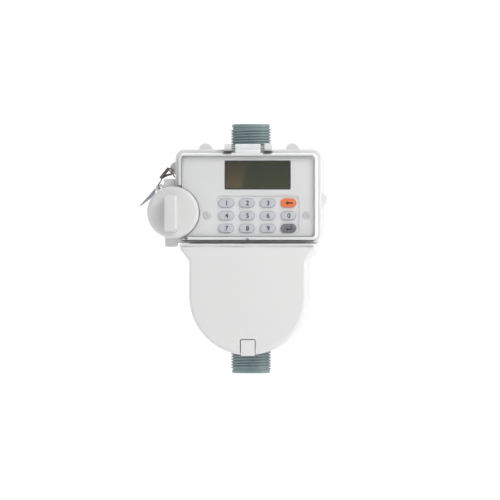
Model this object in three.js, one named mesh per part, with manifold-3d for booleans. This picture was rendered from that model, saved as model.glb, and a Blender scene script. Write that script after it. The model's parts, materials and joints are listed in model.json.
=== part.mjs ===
// Prepaid keypad water meter, DN15, threaded pipe ends, flip cover over the keypad and lid over the register.
// Millimetres. +Z runs up the pipe axis, X = Y = 0 on it, Z = 0 at the inlet's end face, -Y is the front.
import * as THREE from "three";
import { mergeVertices } from "three/addons/utils/BufferGeometryUtils.js";
import Module from "manifold-3d";

// Gaps
const seat = 0.3; // between pieces that rest on or in each other
const free = 0.5; // round a piece that moves
// Pipe
const overallLength = 165;
const threadR = 13.22; // G3/4 B
const threadPitch = 1.814;
const threadDepth = 1.16;
const threadTurns = 7;
const lipLength = 2.4;
const boreR = 7.5;
const neckR = 12.4;
// Measuring chamber and register, both on one axis along Y
const chamberZ = 50;
const chamberR = 26;
const chamberWall = 3;
const chamberBackY = 12;
const chamberFrontY = -16;
const registerR = 23;
const registerDepth = 12;
// Valve
const valveZ = 112;
const ballR = 9.2;
const valveWall = 3.2;
const stemR = 2.6;
// Gears
const gearModule = 0.8;
const stemTeeth = 30;
const idlerTeeth = 16;
const pinionTeeth = 10;
const gearWidth = 3;
const motorR = 6;
// Casing
const wall = 2.2;
const edgeRound = 1.7; // of the casing's outer edges
const backY = 20;
const splitY = 0;
const upperHalfWidth = 48.1;
const upperBottomZ = 86.2;
const upperTopZ = 147.9;
const upperCorner = 6;
const lowerTopZ = 85.9;
const lowerTopHalf = 44.8;
const lowerHalf = 38.6; // also the radius of the round end
const shoulderTopZ = 82.2;
const shoulderLowZ = 74.3;
const roundZ = 51;
const lowerFrontY = -29.7;
const lidBackY = -30.5;
const lidFrontY = -44;
const dividerY = -29.4;
const dividerWall = 1.6;
const caseFrontY = -35.6;
const gasketThick = 1;
const gasketBand = 1.6;
// Front face and what sits in it
const faceFrontY = -41.5;
const faceThick = 2.5;
const coverLeft = 2.4 - upperHalfWidth;
const coverRight = upperHalfWidth - 1.9;
const coverBottomZ = 88.2;
const coverTopZ = 145.5;
const coverWall = 2.2;
const coverFrontY = -45.6;
const windowBox = { x0: -15.4, x1: 28.2, z0: 121.3, z1: 140.5 };
const keypadBox = { x0: -20.7, x1: 33.9, z0: 92.3, z1: 117.4 };
const keypadRecess = 1;
const keyColumns = [-14.3, -0.65, 13.0, 26.65];
const keyRows = [112.5, 104.2, 95.9];
const keyNames = ["key_1", "key_2", "key_3", "key_back", "key_4", "key_5", "key_6", "key_0",
  "key_7", "key_8", "key_9", "key_enter"];
const keyLength = 10;
const keyHeight = 5.6;
const keyStand = 0.7; // above the face
const keyTravel = 1;
const keyFlange = 0.8;
const screwPlaces = { face_screw_left: [-27, 104.3], face_screw_right: [38.5, 104.3] };
const screwHeadR = 2.5;
const screwShankR = 1.4;
// Battery bay
const batteryX = -upperHalfWidth - 1;
const batteryZ = 106.3;
const batteryR = 13.1;
const batteryLength = 50;
const tubeWall = 2;
const threadStep = 0.9; // from the tube down to its threaded neck
const capWall = 1.9;
const capGap = 1.5; // round it, where the face and the cover are cut away
const capFrontY = -46.5;
const gripFrontY = -59;
const gripWidth = 8.2;
const gripLength = 24.5;
// Hinges
const pinR = 1.2;
const lidPivot = { y: -39.5, z: 83.2 };
const coverPivot = { y: -38.5, z: 149.3 };
const knuckleR = 2;
const coverLugR = 2.45;
const caseLugs = [[-26, -20], [20, 26]];
const lidLugs = [[-33, -27], [27, 33]];
const hingeBlockHalf = 35.5;
const coverStrapHalf = 8.3;
const coverLugs = [[-15.5, -10.9], [10.9, 15.5]];
const fixingLugR = 4.25;
const fixingLugBackY = -14;
const fixingLugFrontY = -30;
// Latch tongue
const latchWidth = 9.3;
const latchTopZ = 22.5;
const latchBottomZ = 12;
const latchThick = 1.8;

const wasm = await Module();
wasm.setup();

const group = new THREE.Group();
const twoPi = 2 * Math.PI;
const roundSteps = 32;

// A closed geometry as a solid with its faces pointing out.
function solid(geometry) {
  const bare = new THREE.BufferGeometry().setAttribute("position", geometry.getAttribute("position"));
  bare.setIndex(geometry.index);
  const merged = mergeVertices(bare, 1e-4);
  const corners = merged.index.array;
  const kept = [];
  for (let i = 0; i < corners.length; i += 3) {
    const [a, b, c] = corners.slice(i, i + 3);
    if (a !== b && b !== c && c !== a) kept.push(a, b, c);
  }
  const make = (order) => new wasm.Manifold(new wasm.Mesh({
    numProp: 3,
    vertProperties: merged.attributes.position.array,
    triVerts: new Uint32Array(order),
  }));
  const made = make(kept);
  return made.volume() < 0 ? make(kept.reverse()) : made;
}

function box(x0, x1, y0, y1, z0, z1) {
  const geometry = new THREE.BoxGeometry(x1 - x0, Math.abs(y1 - y0), z1 - z0);
  return solid(geometry.translate((x0 + x1) / 2, (y0 + y1) / 2, (z0 + z1) / 2));
}

function cylinderX(r, x0, x1, y, z, steps = 20) {
  const geometry = new THREE.CylinderGeometry(r, r, x1 - x0, steps).rotateZ(Math.PI / 2);
  return solid(geometry.translate((x0 + x1) / 2, y, z));
}

function cylinderY(r, y0, y1, x, z, steps = roundSteps) {
  const geometry = new THREE.CylinderGeometry(r, r, Math.abs(y1 - y0), steps);
  return solid(geometry.translate(x, (y0 + y1) / 2, z));
}

function cylinderZ(r, z0, z1, x = 0, y = 0, steps = roundSteps) {
  const geometry = new THREE.CylinderGeometry(r, r, z1 - z0, steps).rotateX(Math.PI / 2);
  return solid(geometry.translate(x, y, (z0 + z1) / 2));
}

// A profile of [radius, height] turned round the Z axis.
function turnedZ(profile, steps = 20) {
  const points = profile.map(([r, z]) => new THREE.Vector2(r, z));
  return solid(new THREE.LatheGeometry(points, steps).rotateX(Math.PI / 2));
}

// A profile of [radius, y] turned round an axis along Y at x, z.
function turnedY(profile, x, z, steps = roundSteps) {
  const points = profile.map(([r, y]) => new THREE.Vector2(r, y));
  return solid(new THREE.LatheGeometry(points, steps).translate(x, 0, z));
}

// A ring of rectangular section round an axis along Y.
function ringY(inner, outer, y0, y1, x, z, steps = roundSteps) {
  return turnedY([[inner, y0], [outer, y0], [outer, y1], [inner, y1], [inner, y0]], x, z, steps);
}

// A shape in X and Z made solid from y0, at the back, to y1, in front, with its edges rounded by bevel.
function slab(shape, y0, y1, bevel = 0, curveSteps = 3) {
  const geometry = new THREE.ExtrudeGeometry(shape, {
    depth: y0 - y1 - 2 * bevel,
    curveSegments: curveSteps,
    bevelEnabled: bevel > 0,
    bevelThickness: bevel,
    bevelSize: bevel,
    bevelOffset: -bevel,
    bevelSegments: 1,
  });
  return solid(geometry.rotateX(Math.PI / 2).translate(0, y0 - bevel, 0));
}

// The same, rounded only at the front.
function frontSlab(shape, y0, y1, bevel, curveSteps = 3) {
  const whole = slab(shape, y0 + 2 * bevel, y1, bevel, curveSteps);
  const huge = 2 * overallLength;
  return whole.intersect(box(-huge, huge, y1 - 1, y0, -huge, huge));
}

function roundRect({ x0, x1, z0, z1 }, r, inset = 0) {
  const [left, right, low, high] = [x0 + inset, x1 - inset, z0 + inset, z1 - inset];
  const corner = Math.max(r - inset, 0.4);
  const quarter = Math.PI / 2;
  const shape = new THREE.Shape();
  shape.absarc(right - corner, low + corner, corner, -quarter, 0);
  shape.absarc(right - corner, high - corner, corner, 0, quarter);
  shape.absarc(left + corner, high - corner, corner, quarter, 2 * quarter);
  shape.absarc(left + corner, low + corner, corner, 2 * quarter, 3 * quarter);
  return shape;
}

// Straight walls with a wider shoulder above and half a circle below.
function lowerShape(inset = 0) {
  const [half, topHalf, top] = [lowerHalf - inset, lowerTopHalf - inset, lowerTopZ - inset];
  const slopeShift = 0.4 * inset;
  const shape = new THREE.Shape();
  shape.moveTo(half, shoulderLowZ + slopeShift);
  shape.lineTo(topHalf, shoulderTopZ + slopeShift);
  shape.lineTo(topHalf, top);
  shape.lineTo(-topHalf, top);
  shape.lineTo(-topHalf, shoulderTopZ + slopeShift);
  shape.lineTo(-half, shoulderLowZ + slopeShift);
  shape.absarc(0, roundZ, half, Math.PI, twoPi);
  return shape;
}

const upperBox = { x0: -upperHalfWidth, x1: upperHalfWidth, z0: upperBottomZ, z1: upperTopZ };
const coverBox = { x0: coverLeft, x1: coverRight, z0: coverBottomZ, z1: coverTopZ };
const faceInset = coverWall + free;
const faceRim = 1.2;

function union(...solids) {
  return solids.reduce((whole, next) => whole.add(next));
}

function add(name, made, color, roughness, metalness = 0) {
  const mesh = made.getMesh();
  const geometry = new THREE.BufferGeometry();
  geometry.setAttribute("position", new THREE.BufferAttribute(mesh.vertProperties, 3));
  geometry.setIndex(new THREE.BufferAttribute(mesh.triVerts, 1));
  geometry.computeVertexNormals();
  const node = new THREE.Mesh(geometry, new THREE.MeshStandardMaterial({ color, roughness, metalness }));
  node.name = name;
  group.add(node);
}

const white = 0xe3e3e3;
const greyNylon = 0x7d8f93;
const steel = 0xb8babd;
const rubberBlack = 0x202122;
const acetal = 0xe9e6da;

// ---- Pipe, chamber and valve body ----

// The outside of a threaded end, from its end face at height 0 up to the neck.
function spigotProfile() {
  const root = threadR - threadDepth;
  const lipR = root + 0.5;
  const profile = [[0, 0], [root - 0.2, 0], [lipR, 0.7], [lipR, lipLength - 0.3], [root, lipLength]];
  for (let turn = 0; turn < threadTurns; turn++) {
    const z = lipLength + turn * threadPitch;
    profile.push([threadR, z + 0.5 * threadPitch], [root, z + threadPitch]);
  }
  return profile;
}

const spigotLength = lipLength + threadTurns * threadPitch;
const valveBore = ballR + 1.2;
const valveR = valveBore + valveWall;
const valveLowZ = valveZ - ballR - 3;
const stemBossY = -valveR - 2;

function flowBody() {
  const low = spigotProfile();
  const high = low.map(([r, z]) => [r, overallLength - z]).reverse();
  const valveTopZ = valveZ + ballR + 4;
  const outside = turnedZ([
    ...low, [neckR, spigotLength + 1], [neckR, valveLowZ - 6], [valveR, valveLowZ - 3],
    [valveR, valveTopZ], [neckR, valveTopZ + 3], [neckR, overallLength - spigotLength - 1], ...high,
  ]);
  const chamber = cylinderY(chamberR + chamberWall, chamberBackY, chamberFrontY, 0, chamberZ, 28);
  const boss = cylinderY(stemR + 4, 0, stemBossY, 0, valveZ, 20);
  const chamberCut = cylinderY(chamberR, chamberBackY - chamberWall, chamberFrontY - 1, 0, chamberZ);
  return union(outside, chamber, boss)
    .subtract(chamberCut)
    .subtract(cylinderZ(boreR, -1, chamberZ, 0, 0, 20))
    .subtract(cylinderZ(boreR, chamberZ, valveZ, 0, 0, 20))
    .subtract(cylinderZ(valveBore, valveLowZ, overallLength + 1, 0, 0, 20))
    .subtract(cylinderY(stemR + seat, 0, stemBossY - 1, 0, valveZ, 16))
    .subtract(cylinderY(stemR + 2, stemBossY + 2.2, stemBossY - 1, 0, valveZ, 16));
}

function strainer() {
  const outer = boreR - seat;
  const inner = outer - 0.9;
  const length = 14;
  const cup = turnedZ([[0, 3 + length], [0, 4 + length], [outer, 4 + length], [outer, 3], [inner, 3],
    [inner, 3 + length], [0, 3 + length]], 20);
  let made = cup;
  for (let i = 0; i < 4; i++) {
    const slot = new THREE.BoxGeometry(2.4, 4 * boreR, length - 4);
    made = made.subtract(solid(slot.rotateZ(i * Math.PI / 4).translate(0, 0, 3 + length / 2)));
  }
  return made;
}

const bladeR = chamberR - 2;
const bladeFrontY = chamberFrontY + 5;
const bladeBackY = chamberBackY - chamberWall - 3;

function impeller() {
  const blades = 7;
  let made = cylinderY(4.5, bladeBackY, bladeFrontY, 0, 0, 20);
  made = made.add(ringY(11, 13, bladeBackY - 3, bladeBackY - 1.5, 0, 0, 20));
  for (let i = 0; i < blades; i++) {
    const blade = new THREE.BoxGeometry(bladeR - 3, bladeBackY - bladeFrontY - 2, 1.4);
    blade.translate((bladeR + 3) / 2, (bladeBackY + bladeFrontY) / 2, 0);
    made = made.add(solid(blade.rotateY(i * twoPi / blades)));
  }
  return made
    .subtract(cylinderY(1.25, bladeBackY + 1, bladeFrontY - 1, 0, 0, 12))
    .translate([0, 0, chamberZ]);
}

const shaftR = 1;
const sealY = chamberFrontY - seat;
const sealThick = 1.6;
const lidPlateY = sealY - sealThick - seat;
const lidPlateThick = 3;
const ringBackY = -(neckR + free);
const ringFrontY = lidPlateY - lidPlateThick - 2.3;
const registerBackY = lidPlateY - lidPlateThick - seat;
const registerFrontY = registerBackY - registerDepth;

function chamberCover() {
  const plate = cylinderY(chamberR + chamberWall - 0.4, lidPlateY, lidPlateY - lidPlateThick, 0, chamberZ);
  const spigot = cylinderY(chamberR - seat, lidPlateY - 1, chamberFrontY + 3, 0, chamberZ);
  const recess = cylinderY(shaftR + seat, 0, lidPlateY - 1.5, 0, chamberZ, 12);
  return union(plate, spigot).subtract(recess);
}

function lockingRing() {
  const inner = chamberR + chamberWall + seat;
  const outer = inner + 2.4;
  const lipY = lidPlateY - lidPlateThick - seat;
  const lipR = registerR + seat + free;
  return turnedY([[inner, ringBackY], [outer, ringBackY], [outer, ringFrontY],
    [lipR, ringFrontY], [lipR, lipY], [inner, lipY], [inner, ringBackY]], 0, chamberZ);
}

function registerCan() {
  const inner = registerR - 1.4;
  const floor = registerBackY - 1.4;
  return turnedY([[0, registerBackY], [registerR, registerBackY], [registerR, registerFrontY],
    [inner, registerFrontY], [inner, floor], [0, floor]], 0, chamberZ);
}

const dialY = registerFrontY + 4.4;
const starSpot = { x: 9, z: chamberZ };
const pointerSpot = { x: -6, z: chamberZ - 8 };

function registerDial() {
  const disc = cylinderY(registerR - 1.4 - seat, dialY, dialY - 0.8, 0, chamberZ);
  return disc
    .subtract(cylinderY(1.1, dialY + 1, dialY - 2, starSpot.x, starSpot.z, 12))
    .subtract(cylinderY(1.1, dialY + 1, dialY - 2, pointerSpot.x, pointerSpot.z, 12));
}

function star() {
  const shape = new THREE.Shape();
  const points = 12;
  for (let i = 0; i < points; i++) {
    const r = i % 2 ? 1.5 : 3;
    const angle = i * twoPi / points;
    const [x, z] = [starSpot.x + r * Math.cos(angle), starSpot.z + r * Math.sin(angle)];
    if (i) shape.lineTo(x, z);
    else shape.moveTo(x, z);
  }
  const post = cylinderY(0.7, dialY + 1.5, dialY - 1.4, starSpot.x, starSpot.z, 12);
  return slab(shape, dialY - 1.2, dialY - 2).add(post);
}

function pointer() {
  const { x, z } = pointerSpot;
  const shape = new THREE.Shape();
  shape.moveTo(x - 0.9, z - 2);
  shape.lineTo(x + 0.9, z - 2);
  shape.lineTo(x + 0.2, z + 5.5);
  shape.lineTo(x - 0.2, z + 5.5);
  const post = cylinderY(0.7, dialY + 1.5, dialY - 1.4, x, z, 12);
  return slab(shape, dialY - 1.2, dialY - 2).add(post);
}

function addMeasuring() {
  add("flow_body", flowBody(), greyNylon, 0.5);
  add("inlet_strainer", strainer(), acetal, 0.6);
  add("impeller", impeller(), 0x3f6fa3, 0.5);
  add("impeller_shaft", cylinderY(shaftR, chamberBackY - chamberWall - seat, lidPlateY - 1, 0, chamberZ, 12),
    steel, 0.25, 1);
  const [sealInR, sealOutR] = [chamberR + 0.6, chamberR + chamberWall - 0.4];
  add("chamber_seal", ringY(sealInR, sealOutR, sealY, sealY - sealThick, 0, chamberZ), rubberBlack, 0.7);
  add("chamber_cover", chamberCover(), greyNylon, 0.5);
  add("locking_ring", lockingRing(), 0x4a5558, 0.5);
  add("register_housing", registerCan(), white, 0.5);
  add("register_dial", registerDial(), 0xf4f4f2, 0.6);
  const magnetY = registerBackY - 1.4 - free;
  add("follower_magnet", cylinderY(5, magnetY, magnetY - 2.6, 0, chamberZ, 20), 0x3a3a3c, 0.5, 0.6);
  add("flow_star", star(), 0xc23a2e, 0.4);
  add("litre_pointer", pointer(), 0xc23a2e, 0.4);
  const glassR = registerR - 1.4 - seat;
  add("register_glass", cylinderY(glassR, registerFrontY + 1.8, registerFrontY, 0, chamberZ), 0xdfe8ea, 0.05);
}

// ---- Valve and its drive ----

const gearY = stemBossY - 2.4;
const stemGearR = gearModule * stemTeeth / 2;
const idlerX = stemGearR + gearModule * idlerTeeth / 2;
const motorX = idlerX + gearModule * (idlerTeeth + pinionTeeth) / 2;
const trayY = stemBossY - seat;
const trayFloor = 1.2;
const trayFrontY = gearY - gearWidth - free;

// A spur gear in X and Z with straight-sided teeth and generous backlash; phase turns its first tooth.
function gear(teeth, x, phase, boreRadius) {
  const pitchR = gearModule * teeth / 2;
  const step = twoPi / teeth;
  const [tipR, rootR] = [pitchR + 0.75 * gearModule, pitchR - gearModule];
  const corners = [[rootR, -0.25], [tipR, -0.1], [tipR, 0.1], [rootR, 0.25]];
  const shape = new THREE.Shape();
  for (let tooth = 0; tooth < teeth; tooth++)
    for (const [r, share] of corners) {
      const angle = phase + (tooth + share) * step;
      const [px, pz] = [x + r * Math.cos(angle), valveZ + r * Math.sin(angle)];
      if (tooth === 0 && share === corners[0][1]) shape.moveTo(px, pz);
      else shape.lineTo(px, pz);
    }
  return slab(shape, gearY, gearY - gearWidth)
    .subtract(cylinderY(boreRadius, gearY + 1, gearY - gearWidth - 1, x, valveZ, 12));
}

const tangWidth = 2.4;
const slotDepth = 2;

function valveBall() {
  const ball = solid(new THREE.SphereGeometry(ballR, 20, 12).rotateX(Math.PI / 2).translate(0, 0, valveZ));
  const slotHalf = tangWidth / 2;
  return ball
    .subtract(cylinderZ(boreR - 1.2, valveZ - ballR - 1, valveZ + ballR + 1, 0, 0, 20))
    .subtract(box(-ballR, ballR, -ballR + slotDepth, -ballR - 1, valveZ - slotHalf, valveZ + slotHalf));
}

function valveStem() {
  const tangFrontY = -ballR - 0.6;
  const [half, rise] = [stemR - 0.6, tangWidth / 2 - seat];
  const tangBackY = -ballR + slotDepth - seat;
  const tang = box(-half, half, tangBackY, tangFrontY, valveZ - rise, valveZ + rise);
  const shank = cylinderY(stemR, tangFrontY + 0.1, gearY + seat, 0, valveZ, 20);
  const journal = cylinderY(stemR - 1, gearY + 1, gearY - gearWidth - 1.4, 0, valveZ, 16);
  return union(tang, shank, journal);
}

function seatRing(z0, z1) {
  const outer = valveBore - seat;
  const inner = boreR - 0.5;
  return turnedZ([[inner, z0], [outer, z0], [outer, z1], [inner, z1], [inner, z0]]);
}

function driveOutline(inset) {
  const left = -stemGearR - 3 + inset;
  const right = motorX + motorR + 2 - inset;
  const half = stemGearR + 3 - inset;
  return roundRect({ x0: left, x1: right, z0: valveZ - half, z1: valveZ + half }, 6);
}

function gearboxBase() {
  return slab(driveOutline(0), trayY, trayFrontY, 0, 4)
    .subtract(slab(driveOutline(1.4), trayY - trayFloor, trayFrontY - 1, 0, 4))
    .subtract(cylinderY(stemR + free, trayY + 1, trayFrontY, 0, valveZ, 16))
    .subtract(cylinderY(1.1 + seat, trayY + 1, trayFrontY, idlerX, valveZ, 12))
    .subtract(cylinderY(2, trayY + 1, trayFrontY, motorX, valveZ, 12));
}

const gearboxCoverY = trayFrontY - seat;

function gearboxCover() {
  return slab(driveOutline(0), gearboxCoverY, gearboxCoverY - 1.6, 0, 4)
    .subtract(cylinderY(stemR - 1 + seat, gearboxCoverY + 1, gearboxCoverY - 2, 0, valveZ, 16))
    .subtract(cylinderY(1.1 + seat, gearboxCoverY + 1, gearboxCoverY - 2, idlerX, valveZ, 12));
}

function idlerGear() {
  const post = cylinderY(1.1, trayY - 0.3, gearboxCoverY - 1.2, idlerX, valveZ, 12);
  return gear(idlerTeeth, idlerX, Math.PI / idlerTeeth, 0.5).add(post);
}

function motorPinion() {
  const shaft = cylinderY(0.9, trayY + 0.5, gearY - gearWidth, motorX, valveZ, 12);
  return gear(pinionTeeth, motorX, 0, 0.5).add(shaft);
}

function valveMotor() {
  const can = cylinderY(motorR, trayY + 1.2, trayY + 20, motorX, valveZ, 24);
  const nose = cylinderY(2.6, trayY + seat, trayY + 2, motorX, valveZ, 16);
  return union(can, nose).subtract(cylinderY(1.3, trayY - 1, trayY + 3, motorX, valveZ, 12));
}

function addValve() {
  const brass = 0xc8a45a;
  const seatLow = valveZ - Math.sqrt(ballR ** 2 - (boreR - 0.5) ** 2) - 0.5;
  const seatHigh = 2 * valveZ - seatLow;
  add("valve_ball", valveBall(), steel, 0.15, 1);
  add("lower_seat", seatRing(valveLowZ + seat, seatLow), 0xf6f6f4, 0.5);
  add("upper_seat", seatRing(seatHigh, seatHigh + 3), 0xf6f6f4, 0.5);
  const sleeve = [[boreR, seatHigh + 3 + seat], [valveBore - seat, seatHigh + 3 + seat],
    [valveBore - seat, overallLength - 1.5], [boreR, overallLength - 1.5], [boreR, seatHigh + 3 + seat]];
  add("valve_retainer", turnedZ(sleeve), greyNylon, 0.5);
  add("valve_stem", valveStem(), brass, 0.3, 1);
  const stemSeal = ringY(stemR + 0.2, stemR + 1.8, stemBossY + 2, stemBossY + 0.4, 0, valveZ, 16);
  add("stem_seal", stemSeal, rubberBlack, 0.7);
  add("stem_gear", gear(stemTeeth, 0, 0, stemR - 1 + 0.1), acetal, 0.5);
  add("idler_gear", idlerGear(), acetal, 0.5);
  add("motor_pinion", motorPinion(), brass, 0.35, 1);
  add("valve_motor", valveMotor(), steel, 0.3, 1);
  add("gearbox_base", gearboxBase(), 0x2d2f31, 0.5);
  add("gearbox_cover", gearboxCover(), 0x2d2f31, 0.5);
}

// ---- Casing ----

const tubeR = batteryR + free + tubeWall;
const capR = tubeR - threadStep + free + capWall;
const tubeFrontY = caseFrontY - 0.4;

function batteryCut(y0, y1, gap = seat) {
  return cylinderY(tubeR + gap, y0, y1, batteryX, batteryZ);
}

function pipeCut(z0, z1) {
  return cylinderZ(threadR + free, z0, z1, 0, 0, 28);
}

function backCover() {
  const y1 = splitY + seat / 2;
  const stretch = (inset, back, bevelled) => {
    const pastSplit = y1 - 2 * edgeRound;
    const upper = slab(roundRect(upperBox, upperCorner, inset), back, pastSplit, bevelled, 3);
    const lower = slab(lowerShape(inset), back, pastSplit, bevelled, 8);
    const half = lowerTopHalf - inset - bevelled;
    const bridge = box(-half, half, back, pastSplit, lowerTopZ - 3 - inset, upperBottomZ + 3 + inset);
    return union(upper, lower, bridge);
  };
  const huge = 2 * overallLength;
  return stretch(0, backY, edgeRound)
    .intersect(box(-huge, huge, backY, y1, -huge, huge))
    .subtract(stretch(wall, backY - wall, 0))
    .subtract(pipeCut(upperTopZ - 2 * wall, upperTopZ + 1))
    .subtract(pipeCut(0, roundZ - chamberR))
    .subtract(batteryCut(backY + 1, y1 - 1));
}

function lowerCase() {
  const y0 = splitY - seat / 2;
  const shell = slab(lowerShape(), y0, lowerFrontY, 0, 10)
    .subtract(slab(lowerShape(wall), y0 + 1, lowerFrontY + 2, 0, 10))
    .subtract(pipeCut(0, overallLength))
    .subtract(cylinderY(registerR + free, y0, lowerFrontY - 1, 0, chamberZ));
  const [hingeLow, hingeHigh] = [lidPivot.z - knuckleR, lidPivot.z + knuckleR];
  const blockFrontY = lidPivot.y + 3;
  const block = box(-hingeBlockHalf, hingeBlockHalf, lowerFrontY + 1, blockFrontY, hingeLow, hingeHigh);
  const register = cylinderY(registerR + free, y0, lidFrontY, 0, chamberZ);
  let made = union(shell, block.subtract(register));
  for (const [near, far] of caseLugs) {
    const eye = cylinderX(knuckleR, near, far, lidPivot.y, lidPivot.z);
    const arm = box(near, far, lidPivot.y, blockFrontY + 0.2, hingeLow, hingeHigh);
    made = made.add(eye).add(arm);
  }
  const latchMount = box(-3, 3, lowerFrontY + 1, lowerFrontY - 1.4, latchBottomZ + 3.4, latchBottomZ + 8);
  return made.add(latchMount).subtract(cylinderX(pinR + 0.05 + seat, -40, 40, lidPivot.y, lidPivot.z, 16));
}

function lowerLid() {
  const inside = slab(lowerShape(2), lidBackY + 1, lidFrontY + 2, 0, 10);
  const slotHalf = hingeBlockHalf + 1;
  const slot = box(-slotHalf, slotHalf, lidBackY + 1, lidPivot.y - 1.4, lidPivot.z - 4, lowerTopZ + 1);
  let made = frontSlab(lowerShape(), lidBackY, lidFrontY, edgeRound, 10).subtract(inside).subtract(slot);
  for (const [near, far] of caseLugs) {
    const pocketLow = lidPivot.z - 3;
    const pocket = box(near - free, far + free, lidBackY + 1, lidFrontY + 2, pocketLow, lowerTopZ + 1);
    made = made.subtract(pocket);
  }
  for (const [near, far] of lidLugs) {
    const eye = cylinderX(knuckleR, near, far, lidPivot.y, lidPivot.z);
    const arm = box(near, far, lidPivot.y, lidFrontY + 1.9, lidPivot.z - knuckleR, lidPivot.z + knuckleR);
    made = made.add(eye).add(arm);
  }
  const half = latchWidth / 2 + free;
  return made
    .subtract(cylinderX(pinR + 0.05 + seat, -40, 40, lidPivot.y, lidPivot.z, 16))
    .subtract(box(-half, half, lidBackY + 1, lidFrontY - 1, 0, latchTopZ + free));
}

function lidLatch() {
  const half = latchWidth / 2;
  const face = slab(roundRect({ x0: -half, x1: half, z0: latchBottomZ, z1: latchTopZ }, 1),
    lidFrontY + latchThick, lidFrontY, 0.4, 3);
  const [armHalf, armLow] = [half - 0.5, latchBottomZ + 0.4];
  const arm = box(-armHalf, armHalf, lidFrontY + 1, lowerFrontY - seat - 0.3, armLow, armLow + 2.2);
  return union(face, arm);
}

// The shell behind the front face: two compartments either side of a divider.
function electronicsCase() {
  const y0 = splitY - seat / 2;
  const inner = roundRect(upperBox, upperCorner, wall);
  const mouth = roundRect(coverBox, 4, faceInset + gasketBand);
  let made = slab(roundRect(upperBox, upperCorner), y0, caseFrontY, 0, 2)
    .subtract(slab(inner, y0 + 1, dividerY, 0, 2))
    .subtract(slab(inner, dividerY - dividerWall, caseFrontY + 1.6, 0, 2))
    .subtract(slab(mouth, dividerY - dividerWall, caseFrontY - 1, 0, 2))
    .subtract(pipeCut(0, overallLength));
  const [lugBack, lugFront] = [fixingLugBackY, fixingLugFrontY];
  const lugCentres = [[-28.65, upperTopZ - 0.15], [28.65, upperTopZ - 0.15],
    [upperHalfWidth - 0.85, 114.95], [0.35 - upperHalfWidth, 135.5]];
  for (const [x, z] of lugCentres) {
    const ring = cylinderY(fixingLugR, lugBack, lugFront, x, z, 24);
    made = made.add(ring.subtract(slab(inner, 0, lugFront - 5, 0, 2)));
  }
  const footOutX = -upperHalfWidth - 7.2;
  const foot = roundRect({ x0: footOutX, x1: 0.5 - upperHalfWidth, z0: lowerTopZ - 2.2, z1: 91 }, 1);
  const webX = upperCorner - upperHalfWidth;
  const footWeb = box(-upperHalfWidth, webX, lugBack, lugFront, upperBottomZ, upperBottomZ + wall);
  made = made.add(slab(foot, lugBack, lugFront, 0, 1)).add(footWeb);
  for (const [x0, x1] of coverLugs) {
    const eye = cylinderX(coverLugR, x0, x1, coverPivot.y, coverPivot.z);
    const arm = box(x0, x1, caseFrontY + 6, coverPivot.y, upperTopZ - 1, coverPivot.z + coverLugR - 0.7);
    made = made.add(eye).add(arm);
  }
  for (const [x, z] of Object.values(screwPlaces))
    made = made.add(cylinderY(screwShankR + 2, dividerY - 1, caseFrontY, x, z, 16))
      .subtract(cylinderY(screwShankR + seat, dividerY - 1, caseFrontY - 2, x, z, 12));
  return made
    .subtract(cylinderX(pinR + 0.05 + seat, -18, 18, coverPivot.y, coverPivot.z, 16))
    .subtract(batteryCut(backY, caseFrontY - 2));
}

const faceRimY = caseFrontY - gasketThick - 2 * seat;

function gasket() {
  return slab(roundRect(coverBox, 4, faceInset), caseFrontY - seat, caseFrontY - seat - gasketThick, 0, 3)
    .subtract(slab(roundRect(coverBox, 4, faceInset + gasketBand), caseFrontY, caseFrontY - 3, 0, 3))
    .subtract(cylinderY(capR + capGap, caseFrontY + 1, caseFrontY - 3, batteryX, batteryZ));
}

function keyShape(x, z, grow = 0) {
  const r = keyHeight / 2 + grow;
  const reach = (keyLength - keyHeight) / 2;
  const quarter = Math.PI / 2;
  const shape = new THREE.Shape();
  shape.absarc(x + reach, z, r, -quarter, quarter);
  shape.absarc(x - reach, z, r, quarter, 3 * quarter);
  return shape;
}

const keyPlaces = keyRows.flatMap((z) => keyColumns.map((x) => [x, z]));

function frontFace() {
  const outline = roundRect(coverBox, 4, faceInset);
  const plateBackY = faceFrontY + faceThick;
  const hollow = roundRect(coverBox, 4, faceInset + faceRim);
  let made = frontSlab(outline, faceRimY, faceFrontY, 0.8, 3)
    .subtract(slab(hollow, faceRimY + 1, plateBackY, 0, 3))
    .subtract(slab(roundRect(windowBox, 0.8), plateBackY + 2, faceFrontY - 1, 0, 2))
    .subtract(slab(roundRect(keypadBox, 2.5), faceFrontY + keypadRecess, faceFrontY - 1, 0, 3));
  for (const [x, z] of keyPlaces)
    made = made.subtract(slab(keyShape(x, z, seat), plateBackY + 1, faceFrontY - 1, 0, 3));
  for (const [x, z] of Object.values(screwPlaces))
    made = made.subtract(cylinderY(screwHeadR + seat, faceFrontY + 1.6, faceFrontY - 1, x, z, 16))
      .subtract(cylinderY(screwShankR + seat, plateBackY + 1, faceFrontY, x, z, 12));
  return made.subtract(cylinderY(capR + capGap, faceRimY + 1, faceFrontY - 1, batteryX, batteryZ));
}

function key(x, z) {
  const plateBackY = faceFrontY + faceThick;
  const cap = frontSlab(keyShape(x, z), plateBackY + seat, faceFrontY - keyStand, 0.6, 3);
  const flangeY = plateBackY + seat + keyFlange;
  const flange = slab(keyShape(x, z, 0.7), flangeY, plateBackY + seat, 0, 3);
  return union(cap, flange);
}

const keyBackY = faceFrontY + faceThick + seat + keyFlange;
const boardBackY = dividerY - dividerWall - 1.2;
const boardThick = 1.6;
const boardFrontY = boardBackY - boardThick;

function keypadMat() {
  const matFrontY = boardFrontY - seat - 1;
  let made = slab(roundRect(keypadBox, 2, 0.6), boardFrontY - seat, matFrontY, 0, 2);
  for (const [x, z] of keyPlaces)
    made = made.add(cylinderY(2.2, matFrontY + 0.5, keyBackY + keyTravel + seat, x, z, 8));
  return made;
}

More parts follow.
